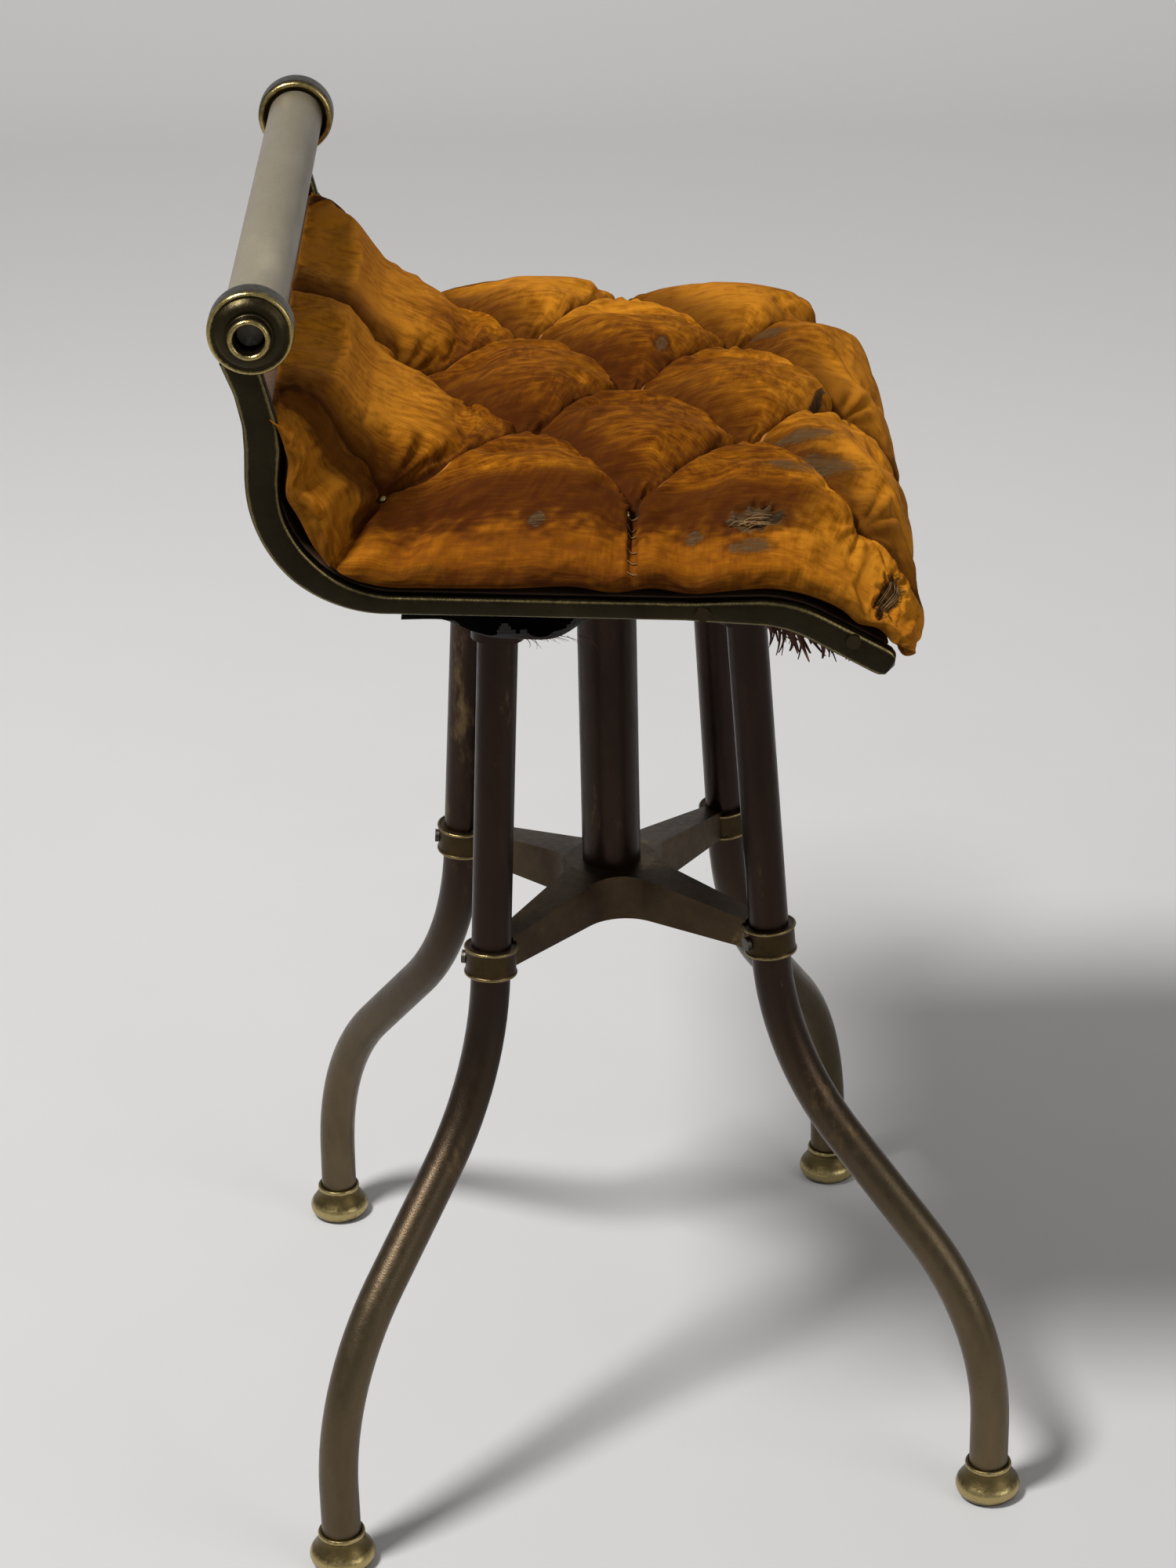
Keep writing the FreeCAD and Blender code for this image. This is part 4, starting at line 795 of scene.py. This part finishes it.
def cloth_noise(along, across, detail, rough=0.6):
    """Noise that lies in the cloth, with its lumps per metre along and across it."""
    return velvet.noise(1.0, detail, (along, across, 1.0), rough, cloth_place)


def larger(first, second):
    return velvet.maths("MAXIMUM", first, second)


def smaller(first, second):
    return velvet.maths("MINIMUM", first, second)


long_streaks = cloth_noise(84.0, 820.0, 1.0)
short_streaks = cloth_noise(420.0, 110.0, 1.0)
blocks = cloth_noise(130.0, 210.0, 1.0)
broad = cloth_noise(16.0, 24.0, 4.0)
fine_pile = cloth_noise(1800.0, 1800.0, 2.0)
which_way = velvet.step(cloth_noise(30.0, 34.0, 2.0), 0.4, 0.6)
streaks = (long_streaks - 0.5) * (1.0 - which_way * 0.6) * 0.62
streaks = streaks + (short_streaks - 0.5) * (which_way * 0.4 + 0.1)
nap = streaks * 0.7 + (blocks - 0.5) * 0.6 + (broad - 0.5) * 0.85 + (fine_pile - 0.5) * 0.34 + 0.42
# Painted light: the colour is made brighter towards the front, towards the far side and up the back of the
# seat, standing in for the light that falls there.
painted_edge_light = larger(velvet.step(lattice_u, 0.4, 2.1), velvet.step(lattice_v, 0.4, 1.9))
painted_edge_light = larger(painted_edge_light, velvet.step(0.0 - lattice_u, 1.5, 2.6))
pile_and_painted_light = velvet.ramp(velvet.clamp(nap + painted_edge_light * 0.4), (0.08, (48, 20, 0)), (0.36, (86, 43, 0)),
                   (0.58, (124, 72, 3)), (0.88, (176, 112, 24)))

# %% Pleats and folds in the velvet
def wave(value):
    return velvet.maths("ABSOLUTE", velvet.maths("SINE", value * (pi / 2)))


held_u, held_v = (smaller(larger(place, -2.0), 2.0) for place in (lattice_u, lattice_v))
from_pleat = smaller(wave(held_u + held_v), wave(held_u - held_v))
across_v = velvet.maths("ABSOLUTE", lattice_v)
on_top = 1.0 - velvet.step(across_v, 2.0, 2.12)
off_corner = 1.0 - velvet.step(lattice_u, 1.2, 1.7) * velvet.step(0.0 - lattice_v, 1.95, 2.05)
# Painted shade: the pleats are darkened in the colour, most on the top of the pad.
painted_pleat_shade = velvet.below(from_pleat, 0.0, 0.14) * (on_top * 0.7 + 0.3) * off_corner
pile_and_painted_light = velvet.blend(painted_pleat_shade * 0.75, pile_and_painted_light, (40, 14, 1))
across_sum = velvet.maths("FLOORED_MODULO", held_u + held_v, 2.0)
across_gap = velvet.maths("FLOORED_MODULO", held_u - held_v, 2.0)
# Painted shade: the flank beside each pleat, under the rolled edge of the next puff, is darkened in the
# colour.
painted_roll_shade = larger(velvet.below(across_sum, 0.05, 0.5) * 0.8, velvet.step(across_gap, 1.6, 1.95) * 0.5)
pile_and_painted_light = velvet.blend(painted_roll_shade * on_top * off_corner, pile_and_painted_light, (54, 21, 1))
tucked = velvet.step(across_sum - across_gap, 0.0, 0.1)
fold_line = velvet.step(from_pleat, 0.1, 0.12) * velvet.below(from_pleat, 0.125, 0.15)
fold_line = fold_line * tucked * on_top * velvet.step(broad, 0.44, 0.58)
pile_and_painted_light = velvet.blend(fold_line * 0.7, pile_and_painted_light, (196, 136, 78))

# %% [markdown]
# Shade and light are painted into the colour along the sides of the pad: painted shade just below the upper
# edge, painted light lower down, where the side bulges over the rail and faces up, and painted shade again at
# its foot and on the underside.

# %% Painted shade and light in bands along the sides
side_line = across_v + (broad - 0.5) * 0.3 + (blocks - 0.5) * 0.25
# Painted shade under the upper edge and at the foot of the side, painted light on the bulge between.
painted_shade_band = velvet.step(side_line, 1.98, 2.1) * velvet.below(side_line, 2.34, 2.56)
painted_light_band = velvet.step(side_line, 2.4, 2.6) * velvet.below(side_line, 2.7, 2.82)
painted_low_shade = velvet.step(side_line, 2.74, 2.86)
pile_and_painted_light = velvet.blend(painted_shade_band * off_corner * 0.8, pile_and_painted_light, (56, 22, 1))
pile_and_painted_light = velvet.blend(painted_light_band * 0.35, pile_and_painted_light, (132, 74, 12))
pile_and_painted_light = velvet.blend(painted_low_shade * 0.6, pile_and_painted_light, (46, 18, 1))

# %% [markdown]
# In some places the velvet has lost its pile and shows the grey cotton ground of its weave, with a dark rim:
# along the near band, on the ridges by the front, and at the torn corner. Each spot is told by its place
# among the buttons and its two half sizes, and noise makes its outline ragged.

# %% Bare spots and their rims
BARE_SPOTS = [
    (0.97, -2.36, 0.22, 0.10), (1.0, -2.6, 0.17, 0.055), (1.27, 1.1, 0.11, 0.07), (1.57, -1.45, 0.22, 0.11),
    (1.4, -1.13, 0.17, 0.07), (1.1, -1.8, 0.17, 0.07), (0.17, 0.53, 0.07, 0.07), (-0.88, -2.43, 0.06, 0.06),
    (0.5, -2.48, 0.07, 0.05), (1.36, -1.62, 0.08, 0.05), (1.85, 0.1, 0.05, 0.05),
]
HOLES = [
    (2.62, -2.45, 0.15, 0.24), (1.62, -0.2, 0.07, 0.15), (0.05, -2.09, 0.035, 0.07),
    (1.12, -2.33, 0.09, 0.04),
]


def nearest_spot(spots):
    """How far a point is from the nearest spot's middle: 1 on its outline."""
    least = None
    for spot_u, spot_v, half_u, half_v in spots:
        moved = velvet.node("Mapping", {"Vector": button_place, "Scale": (1 / half_u, 1 / half_v, 1.0),
                                        "Location": (-spot_u / half_u, -spot_v / half_v, 0.0)})
        away = velvet.node("VectorMath", [moved], {"operation": "LENGTH"}, out=1)
        least = smaller(least, away) if least else away
    return least


ragged = (cloth_noise(260.0, 330.0, 4.0, 0.75) - 0.5) * 1.5
bare_at = nearest_spot(BARE_SPOTS) + ragged
hole_at = nearest_spot(HOLES) + ragged
weave = velvet.clamp((cloth_noise(260.0, 1500.0, 2.0) - 0.5) * 2.2 + (long_streaks - 0.5) * 1.2 + 0.5)
ground = velvet.blend(weave, (30, 22, 13), (84, 68, 46))
spot_rim = velvet.step(bare_at, 1.0, 1.15) * velvet.below(bare_at, 1.2, 1.75)
pile_and_painted_light = velvet.blend(spot_rim * 0.5, pile_and_painted_light, (58, 28, 6))
bare = velvet.below(bare_at, 0.95, 1.12)
worn_share = velvet.step(weave + (fine_pile - 0.5) * 1.4, 0.2, 0.7) * 0.45 + 0.5
pile_and_painted_light = velvet.blend(bare * worn_share, pile_and_painted_light, ground)
hole = velvet.below(hole_at, 0.85, 1.2)
pile_and_painted_light = velvet.blend(hole * 0.93, pile_and_painted_light, velvet.blend(weave, (14, 9, 5), (58, 44, 28)))
pile_height = streaks * 0.8 + blocks * 0.4 + fine_pile * 0.4 - hole * 0.9 - bare * 0.5 + bare * weave * 0.7
velvet.feed(Base_Color=pile_and_painted_light, Normal=velvet.bump(pile_height, 0.0005))
cushion.data.materials.append(velvet.material)

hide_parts("cushion")
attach(cushion, "seat")

# %% [markdown]
# ## Wrapping a grid round a shape
# A cast strap, a turned foot and a bead are all one sheet of faces wrapped round a form. So one helper adds a
# plain grid, bends every point of it to its place, and merges the doubles where the sheet meets itself. Each
# point can also say how worn it is there, and the metal finishes read that as an attribute: hands and cloths
# polish the edges and beads of old brass while the hollows stay dark.

# %% Wrap a grid
MERGE = 0.00001


def full_turn(t):
    return cos(t * 2 * pi), sin(t * 2 * pi)


def wrapped(name, along, around, place, finish, sharp=50):
    """A grid wrapped round a form: place(s, t) gives a point and its wear for s along it and t round it."""
    bpy.ops.mesh.primitive_grid_add(x_subdivisions=along, y_subdivisions=around, size=2)
    piece = bpy.context.object
    piece.name = piece.data.name = name
    wear = []
    for vertex in piece.data.vertices:
        vertex.co, worn = place((vertex.co.x + 1) / 2, (vertex.co.y + 1) / 2)
        wear.append(worn)
    piece.data.attributes.new("worn", "FLOAT", "POINT").data.foreach_set("value", wear)
    with editing(piece):
        bpy.ops.mesh.remove_doubles(threshold=MERGE)
        bpy.ops.mesh.normals_make_consistent(inside=False)
    bpy.ops.object.shade_smooth_by_angle(angle=radians(sharp))
    piece.data.materials.append(finish.material)
    return piece


# %% Turned pieces
def standing(origin, axis):
    """The placement whose Z runs along axis from the origin."""
    up = Vector(axis).normalized()
    side = up.orthogonal().normalized()
    turn = Matrix((side, up.cross(side), up)).transposed().to_4x4()
    return Matrix.Translation(origin) @ turn


def turned(name, profile, steps, placement, finish, fine=3):
    """A lathe piece: a smooth profile of (radius, height, wear) in millimetres turned round the Z axis."""
    last = len(profile) - 1
    curve = smooth_curve(np.arange(last + 1), np.array(profile, float))

    def place(s, t):
        radius, height, wear = curve(s * last)
        ring, (across, up) = max(radius, 0) / 1000, full_turn(t)
        return placement @ Vector((ring * across, ring * up, height / 1000)), float(wear)

    return wrapped(name, last * fine, steps, place, finish)


def join_pieces(name, pieces):
    pick(*pieces)
    bpy.ops.object.join()
    pieces[0].name = pieces[0].data.name = name
    return pieces[0]


# %% Rubbed metal
def rubbed_metal(name, dark, middle, bright, gloss):
    """Tarnished brass that is bright where the mesh says that it is worn."""
    metal = Finish(name, Metallic=0.92)
    cloud = metal.noise(46.0, 6.0, rough=0.62)
    fine = metal.noise(420.0, 4.0)
    tone = metal.blend(metal.clamp(cloud * 1.7 - 0.35), dark, middle)
    rubbed = metal.step(metal.stored("worn", 2) + (cloud - 0.5) * 0.6 + (fine - 0.5) * 0.5, 0.42, 0.85)
    tone = metal.blend(rubbed, tone, bright)
    specks = metal.step(metal.noise(900.0, 2.0), 0.66, 0.73)
    tone = metal.blend(specks * 0.6, tone, dark)
    metal.feed(Base_Color=tone,
               Roughness=metal.clamp(fine * 0.3 + (gloss - 0.1) + specks * 0.2 - rubbed * 0.14),
               Normal=metal.bump(fine + metal.noise(1500.0, 2.0) * 0.6, 0.00014))
    return metal


rubbed_rail = rubbed_metal("rubbed_rail", (30, 25, 15), (50, 43, 27), (104, 92, 58), 0.36)
rubbed_boss = rubbed_metal("rubbed_boss", (32, 27, 16), (62, 54, 33), (172, 152, 96), 0.3)
rubbed_foot = rubbed_metal("rubbed_foot", (68, 57, 34), (124, 108, 68), (176, 158, 108), 0.36)
rubbed_collar = rubbed_metal("rubbed_collar", (38, 28, 15), (72, 57, 33), (132, 114, 76), 0.38)

# %% [markdown]
# ## The side rails
# Each rail is one casting: a flat strap of rounded section that follows the line of the seat, narrower along
# the seat than on the back, and at its top a round boss. The boss has a bead round its rim, a shallow dish
# inside it, and a raised eye with its own bead, down which the end screw of the round rail goes. The strap
# is a wrapped grid, the boss is turned on the lathe, and the two are joined into one piece.

# %% Profile of the boss
RAIL_TIP = 0.00725
RAIL_MIDDLE = 0.178
RAIL_THICK = 0.009
BOSS_CENTRE = (-0.1596, 0.6777)
BOSS_PROFILE = [
    (0.0, 8.0, 0.0), (6.4, 8.0, 0.0), (6.95, 8.3, 0.0), (7.0, 12.0, 0.0), (7.0, 19.6, 0.1), (7.4, 21.3, 0.6),
    (8.4, 22.0, 0.8), (9.4, 21.5, 0.7), (9.95, 20.3, 0.5), (9.9, 18.8, 0.3), (9.7, 17.0, 0.1),
    (9.8, 15.3, 0.0), (10.5, 14.7, 0.1), (11.7, 14.9, 0.2), (13.3, 14.7, 0.25), (14.9, 14.0, 0.2),
    (16.3, 12.8, 0.1), (17.1, 12.0, 0.1), (17.8, 12.2, 0.5), (18.7, 12.5, 0.8), (19.5, 11.9, 0.8),
    (19.95, 10.4, 0.5), (19.95, 4.0, 0.1), (19.9, 0.6, 0.3), (19.5, -1.2, 0.6), (18.5, -2.3, 0.8),
    (17.3, -2.4, 0.7), (16.2, -1.6, 0.3), (15.3, -0.3, 0.1), (14.6, 0.0, 0.0), (10.0, 0.0, 0.0),
    (0.0, 0.0, 0.0),
]

# %% The strap and its boss
def corner_round(angle, power=4.0):
    """A point of a rounded rectangle from -1 to 1, and how near it is to a corner."""
    across, up = cos(angle), sin(angle)
    spot = (copysign(abs(across) ** (2 / power), across), copysign(abs(up) ** (2 / power), up))
    return spot, max(0.0, 1 - abs(abs(degrees(angle)) % 90 - 45) / 26)


def side_rail(name, hand):
    """The rail on one side: hand is -1 for the sitter's right and 1 for the left."""
    start = RAIL_STATIONS[0, 0]

    def place(s, t):
        distance = start + s * (LINE_END + RAIL_TIP - start)
        outer, inner, _ = rail_edges(distance)
        beyond = max(0.0, (distance - LINE_END) / RAIL_TIP)
        narrow = sqrt(max(0.0, 1 - beyond**2))
        (up, across), edge = corner_round(t * 2 * pi)
        thick = RAIL_THICK / 2 * max(0.0, 1 - beyond**6) ** 0.3
        spot = beside_line(distance, (inner - outer) / 2 + (inner + outer) / 2 * narrow * up)
        return Vector((spot.x, hand * (RAIL_MIDDLE + thick * across), spot.z)), max(edge, 0.6 * beyond)

    strap = wrapped(name, 150, 32, place, rubbed_rail, 70)
    inner_face = Vector((BOSS_CENTRE[0], hand * (RAIL_MIDDLE - RAIL_THICK / 2), BOSS_CENTRE[1]))
    boss = turned("boss", BOSS_PROFILE, 64, standing(inner_face, (0, hand, 0)), rubbed_boss, 2)
    rail = join_pieces(name, [strap, boss])
    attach(rail, "seat")
    return rail


right_rail = side_rail("cast_rail_right", -1)
left_rail = side_rail("cast_rail_left", 1)
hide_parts("side_rail_right")
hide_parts("side_rail_left")
print("rail:", len(right_rail.data.polygons), "faces each")

# %% [markdown]
# ## The feet
# Each leg ends in a turned brass cap like a small bun: a neck with a thin lip that grips the tube, a hollow
# shoulder, a full round belly, and a flat ring that stands on the floor.

# %% Turned feet
FLOOR_SPOTS = [(0.19396, -0.13636), (0.13004, 0.19756), (-0.16799, 0.16547), (-0.14984, -0.18422)]
FOOT_PROFILE = [
    (0.0, 0.0, 0.0), (9.0, 0.0, 0.0), (12.9, 0.0, 0.1), (14.8, 0.9, 0.3), (16.5, 3.0, 0.6), (17.25, 5.6, 0.9),
    (17.0, 7.9, 0.9), (15.9, 9.9, 0.6), (14.5, 11.8, 0.3), (13.3, 13.7, 0.2), (12.4, 15.6, 0.2),
    (12.0, 17.0, 0.3), (12.3, 18.0, 0.6), (12.4, 18.9, 0.8), (12.1, 19.8, 0.7), (11.5, 20.2, 0.3),
    (10.5, 19.9, 0.0), (9.0, 18.8, 0.0), (0.0, 18.6, 0.0),
]
feet = [turned("foot", FOOT_PROFILE, 56, standing((x, y, 0), (0, 0, 1)), rubbed_foot) for x, y in FLOOR_SPOTS]
feet = join_pieces("bun_feet", feet)
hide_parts("foot_caps")
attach(feet, "base")
print("feet:", len(feet.data.polygons), "faces")

# %% [markdown]
# ## The collars' lips
# The four rings of the stretcher aren't plain: a thin lip runs round each at its upper and lower edge, and
# those lips are what catches the light. They are turned about the upper run of each leg, which leans
# inwards a little, and sit on the rings of the casting.

# %% Lips round the collars
COLLAR_REACH = 0.1033
COLLAR_HEIGHT = 0.301
LEG_SPLAY = radians(4.6)
BASE_YAW = 6.8
LEG_BEARINGS = (-45, 45, 135, -135)
BAND_PROFILE = [
    (12.6, -7.7, 0.2), (13.3, -7.8, 0.6), (13.8, -7.4, 0.9), (13.9, -6.8, 0.9), (13.7, -6.2, 0.6),
    (13.3, -5.7, 0.2), (13.15, -3.6, 0.0), (13.1, 0.0, 0.1), (13.15, 3.6, 0.0), (13.3, 5.5, 0.2),
    (13.8, 6.1, 0.7), (14.2, 6.8, 0.9), (14.1, 7.5, 0.9), (13.4, 7.8, 0.6), (12.6, 7.7, 0.2),
]
bands = []
for bearing in LEG_BEARINGS:
    angle = radians(bearing + BASE_YAW)
    away = Vector((cos(angle), sin(angle), 0))
    run = Vector((0, 0, cos(LEG_SPLAY))) - away * sin(LEG_SPLAY)
    middle = away * COLLAR_REACH + Vector((0, 0, COLLAR_HEIGHT))
    bands.append(turned("band", BAND_PROFILE, 48, standing(middle, run), rubbed_collar, 2))
bands = join_pieces("collar_bands", bands)
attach(bands, "base")
print("collar bands:", len(bands.data.polygons), "faces")

# %% [markdown]
# ## The seat board and the lining below it
# The board's lower side edges are cut back, as a maker does so that it doesn't show under the rails. Beneath
# it hangs what is left of a thin black lining: tacked along the board, torn loose near the right rail, where
# it sags in a pocket, and frayed to strands along its front.

# %% Seat board with its lower edges cut back
CUT_FROM = 0.132
CUT_HEIGHT = 0.0095
SIDE_FACE = 0.17
UNDERSIDE = 0.53
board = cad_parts["seat_board"].copy()
board.data = board.data.copy()
board.name = board.data.name = "eased_seat_board"
scene.collection.objects.link(board)
with editing(board):
    bpy.ops.mesh.remove_doubles(threshold=MERGE)
    bpy.ops.mesh.dissolve_limited(angle_limit=radians(1))
cut = bmesh.new()
cut.from_mesh(board.data)
for side in (-1, 1):
    whole = cut.verts[:] + cut.edges[:] + cut.faces[:]
    bmesh.ops.bisect_plane(cut, geom=whole, plane_co=(0, side * CUT_FROM, 0), plane_no=(0, 1, 0))
raised = [vertex for vertex in cut.verts if abs(vertex.co.y) > SIDE_FACE and vertex.co.z < UNDERSIDE]
for vertex in raised:
    vertex.co.z += CUT_HEIGHT
cut.to_mesh(board.data)
cut.free()
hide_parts("seat_board")
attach(board, "seat")
print("seat board:", len(raised), "points raised,", len(board.data.polygons), "faces")

# %% Torn lining
LINING_X = (-0.0985, 0.067)
LINING_HALF = 0.160
LINING_TOP = 0.5254
HUB_HOLE = 0.0595


def sag(x, y):
    """How far the lining hangs below the board: a little everywhere, and a pocket by the right rail."""
    margins = ((LINING_HALF - abs(y)) / 0.012, (x - LINING_X[0]) / 0.01, (LINING_X[1] - x) / 0.01)
    inside = max(0, prod(min(1, margin) for margin in margins))
    off_hub = 1 - 1 / (1 + (0.062 / max(hypot(x, y), 0.001)) ** -8)
    pocket = exp(-((x + 0.043) / 0.03) ** 4 - ((y + 0.141) / 0.022) ** 2)
    far_pocket = exp(-((x - 0.02) / 0.035) ** 2 - ((y - 0.135) / 0.024) ** 2)
    ripple = 0.0009 * sin(74 * x + 9 * sin(31 * y)) + 0.0006 * sin(120 * y + 40 * x)
    return ((0.0024 + ripple) * inside * off_hub + 0.0165 * pocket * min(1, inside * 2 + 0.4)
            + 0.006 * far_pocket * inside)


def lining_place(s, t):
    x = LINING_X[0] + s * (LINING_X[1] - LINING_X[0])
    y = (2 * t - 1) * LINING_HALF
    return Vector((x, y, LINING_TOP - sag(x, y))), 0.0


def torn_away(mesh):
    """The faces that are gone: round the hub, along the ragged front, and where the side came loose."""
    gone = []
    for face in mesh.polygons:
        x, y, _ = face.center
        front = LINING_X[1] - 0.016 + 0.006 * sin(150 * x) + 0.004 * sin(410 * x + 1)
        side = LINING_HALF - (0.004 + 0.003 * sin(210 * x + 2) + 0.0016 * sin(530 * x))
        if (hypot(x, y) < HUB_HOLE or x > front + 0.1 * abs(y + 0.05) ** 1.5
                or (-y > side and -0.08 < x < -0.005)):
            gone.append(face)
    return gone


lining_sheet = wrapped("torn_lining", 150, 280, lining_place, lining, 180)
with editing(lining_sheet, torn_away):
    bpy.ops.mesh.select_mode(type="FACE")
    bpy.ops.mesh.delete(type="FACE")
print("lining:", len(lining_sheet.data.polygons), "faces")

# %% Strands of the frayed edge
def yarn(name, roughness, lumps, dark, light, depth):
    """A plain spun finish, cloudy in tone and a little rough."""
    spun = Finish(name, Roughness=roughness)
    tone = spun.noise(lumps[0], 3.0)
    spun.feed(Base_Color=spun.blend(tone, dark, light), Normal=spun.bump(spun.noise(lumps[1], 2.0), depth))
    return spun


strand_cloth = yarn("frayed_cloth", 0.95, (160.0, 900.0), (38, 18, 12), (104, 60, 40), 0.0002)
chance = random.Random(7)
draw = chance.uniform


def scattered(*ranges):
    """A vector drawn at random between two limits for each axis, or 0 where an axis has none."""
    return Vector([draw(*limits) if limits else 0 for limits in ranges])


def strand(start, reach, width, curl):
    """A thin curling strand that hangs from start by its reach."""

    def place(s, t):
        swing = Vector((sin(3.1 * s + curl.x * 90), cos(2.3 * s + curl.y * 70), 0)) * 0.0012 * s
        across, up = full_turn(t)
        taper = width * (1 - 0.75 * s) / 2
        return start + reach * s + curl * s * s + swing + Vector((across * taper, up * taper, 0)), 0.0

    return wrapped("strand", 7, 5, place, strand_cloth, 180)


strands = []
for count in range(64):
    x = 0.074 + 0.036 * chance.random() ** 1.3
    start = Vector((x, draw(-0.172, -0.150), 0.5262 - (x - 0.072) * 0.36))
    drop = draw(0.006, 0.013) + 0.006 * exp(-((x - 0.086) / 0.007) ** 2)
    reach = scattered((-0.002, 0.006), (-0.003, 0.003), None) - Vector((0, 0, drop))
    curl = scattered((-0.004, 0.008), (-0.006, 0.006), (-0.001, 0.003))
    strands.append(strand(start, reach, draw(0.0014, 0.0042), curl))
for count in range(44):
    start = beside_line(BACK_ARC + SEAT_RUN + draw(0.018, 0.055), -0.0045)
    reach = scattered((-0.001, 0.002), None, (-0.0075, -0.0045))
    start.y = draw(-0.1725, -0.168)
    width = draw(0.0016, 0.0034)
    strands.append(strand(start, reach, width, scattered((-0.002, 0.003), None, None)))
for count in range(14):
    start = Vector((draw(-0.045, -0.008), -0.1545, 0.5128))
    reach = scattered((0.002, 0.012), (-0.002, 0.002), (-0.006, -0.002))
    curl = scattered((-0.004, 0.006), None, (-0.003, 0.002))
    strands.append(strand(start, reach, draw(0.0004, 0.0009), curl))
fringe = join_pieces("frayed_strands", strands)
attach(fringe, "seat")
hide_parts("bottom_lining")
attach(lining_sheet, "seat")

# %% [markdown]
# ## Threads, stitches and nails
# Small things tell how old the seat is: worn threads that lie across the big tear, the stitches that close
# the seam of the near band, and two small domed nails driven in where buttons were lost. Each is set on the
# skin by its place among the buttons.

# %% Small pieces on the skin
skin_places = np.empty(len(cushion.data.vertices) * 3, np.float32)
cushion.data.attributes["lattice"].data.foreach_get("vector", skin_places)
skin_places = skin_places.reshape(-1, 3)
thread_cloth = yarn("old_thread", 0.9, (300.0, 1200.0), (70, 50, 28), (146, 112, 66), 0.0001)


def skin_at(u, v):
    """The point of the skin nearest to u and v, and the way it faces."""
    index = int(np.argmin(np.hypot(skin_places[:, 0] - u, skin_places[:, 1] - v)))
    vertex = cushion.data.vertices[index]
    return vertex.co.copy(), vertex.normal.copy()


def thread(name, stops, width):
    """A thin thread over the skin through the stops, each with its place and its height above the skin."""
    spots = [(skin_at(u, v), lift) for u, v, lift in stops]
    points = np.array([spot + outward * lift for (spot, outward), lift in spots])
    curve = smooth_curve(np.arange(len(points)), points)

    def place(s, t):
        across, up = full_turn(t)
        taper = width / 2 * min(1, 8 * s * (1 - s) + 0.15)
        return Vector(curve(s * (len(points) - 1))) + Vector((across * 0.5, across * 0.8, up)) * taper, 0.0

    return wrapped(name, 8, 5, place, thread_cloth, 180)


# %% Threads, stitches and nails
BIG_TEAR_V = TEARS[0][1]
CORNER_TEAR_U = TEARS[1][0]
threads = []
for count in range(11):
    u = draw(0.8, 1.06)
    v = BIG_TEAR_V + draw(-0.07, 0.07)
    drift = draw(-0.05, 0.05)
    threads.append(thread("thread", [(u - 0.07, v, 0.0), (u, v + drift * 0.5, draw(0.0016, 0.0034)),
                                     (u + draw(0.08, 0.18), v + drift, 0.0004)],
                          draw(0.0004, 0.0009)))
for count in range(7):
    u = CORNER_TEAR_U + draw(-0.1, 0.1)
    threads.append(thread("thread", [(u, -2.26, 0.0), (u + 0.02, -2.42, 0.0022), (u - 0.02, -2.62, 0.0)],
                          draw(0.0005, 0.0009)))
for count in range(6):
    v = -2.16 - 0.125 * count + draw(-0.02, 0.02)
    stops = [(-0.04, v, -0.0003), (0.0, v - 0.02, 0.0009), (0.045, v - 0.05, -0.0003)]
    threads.append(thread("stitch", stops, 0.0006))
threads = join_pieces("threads_and_stitches", threads)
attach(threads, "seat")

NAIL_PROFILE = [
    (0.0, -1.2, 0.0), (1.3, -1.2, 0.0), (2.0, -0.4, 0.4), (1.9, 0.4, 0.7), (1.2, 1.1, 1.0), (0.0, 1.4, 1.0),
]
nails = []
for u, v in ((-1.97, -2.06), (-0.03, -2.1)):
    spot, outward = skin_at(u, v)
    nails.append(turned("nail", NAIL_PROFILE, 20, standing(spot + outward * 0.0012, outward), rubbed_boss))
nails = join_pieces("button_nails", nails)
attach(nails, "seat")
print("threads:", len(threads.data.polygons), "faces, nails:", len(nails.data.polygons))

# %% [markdown]
# ## The height screw
# When the seat is wound up, the screw shows between the seat and the hub, so its thread is modelled. It is
# right-handed with the pitch that the joints have, so it stays in step with the bush as it turns.

# %% The screw and its thread
PITCH = 6.35
ROOT = 8.2
RIDGE = 1.3
THREAD_FOOT, THREAD_TOP = 379.0, 525.8
SCREW_ROWS = [(0.0, 362.5), (4.4, 362.5), (5.0, 363.1), (5.0, 378.7), (ROOT, 378.7)]
SCREW_ROWS += [(None, z) for z in np.linspace(379.2, 525.6, 186)]
SCREW_ROWS += [(ROOT, 526.0), (0.0, 526.0)]


def screw_place(s, t):
    radius, z = SCREW_ROWS[round(s * (len(SCREW_ROWS) - 1))]
    worn = 0.2
    if radius is None:
        ridge = abs((z / PITCH - t) % 1 * 2 - 1)
        crest = min(1.0, max(0.0, ridge * 1.9 - 0.45))
        near_end = min(1.0, (z - THREAD_FOOT) / 3.0, THREAD_TOP - z)
        radius = ROOT + RIDGE * crest * max(0.0, near_end)
        worn = crest
    across, up = full_turn(t)
    return Vector((radius * across, radius * up, z)) / 1000, float(worn)


rubbed_steel = rubbed_metal("rubbed_steel", (34, 32, 28), (62, 58, 50), (138, 132, 118), 0.34)
threaded = wrapped("threaded_screw", len(SCREW_ROWS) - 1, 40, screw_place, rubbed_steel, 35)
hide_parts("height_screw")
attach(threaded, "seat")
print("height screw:", len(threaded.data.polygons), "faces")
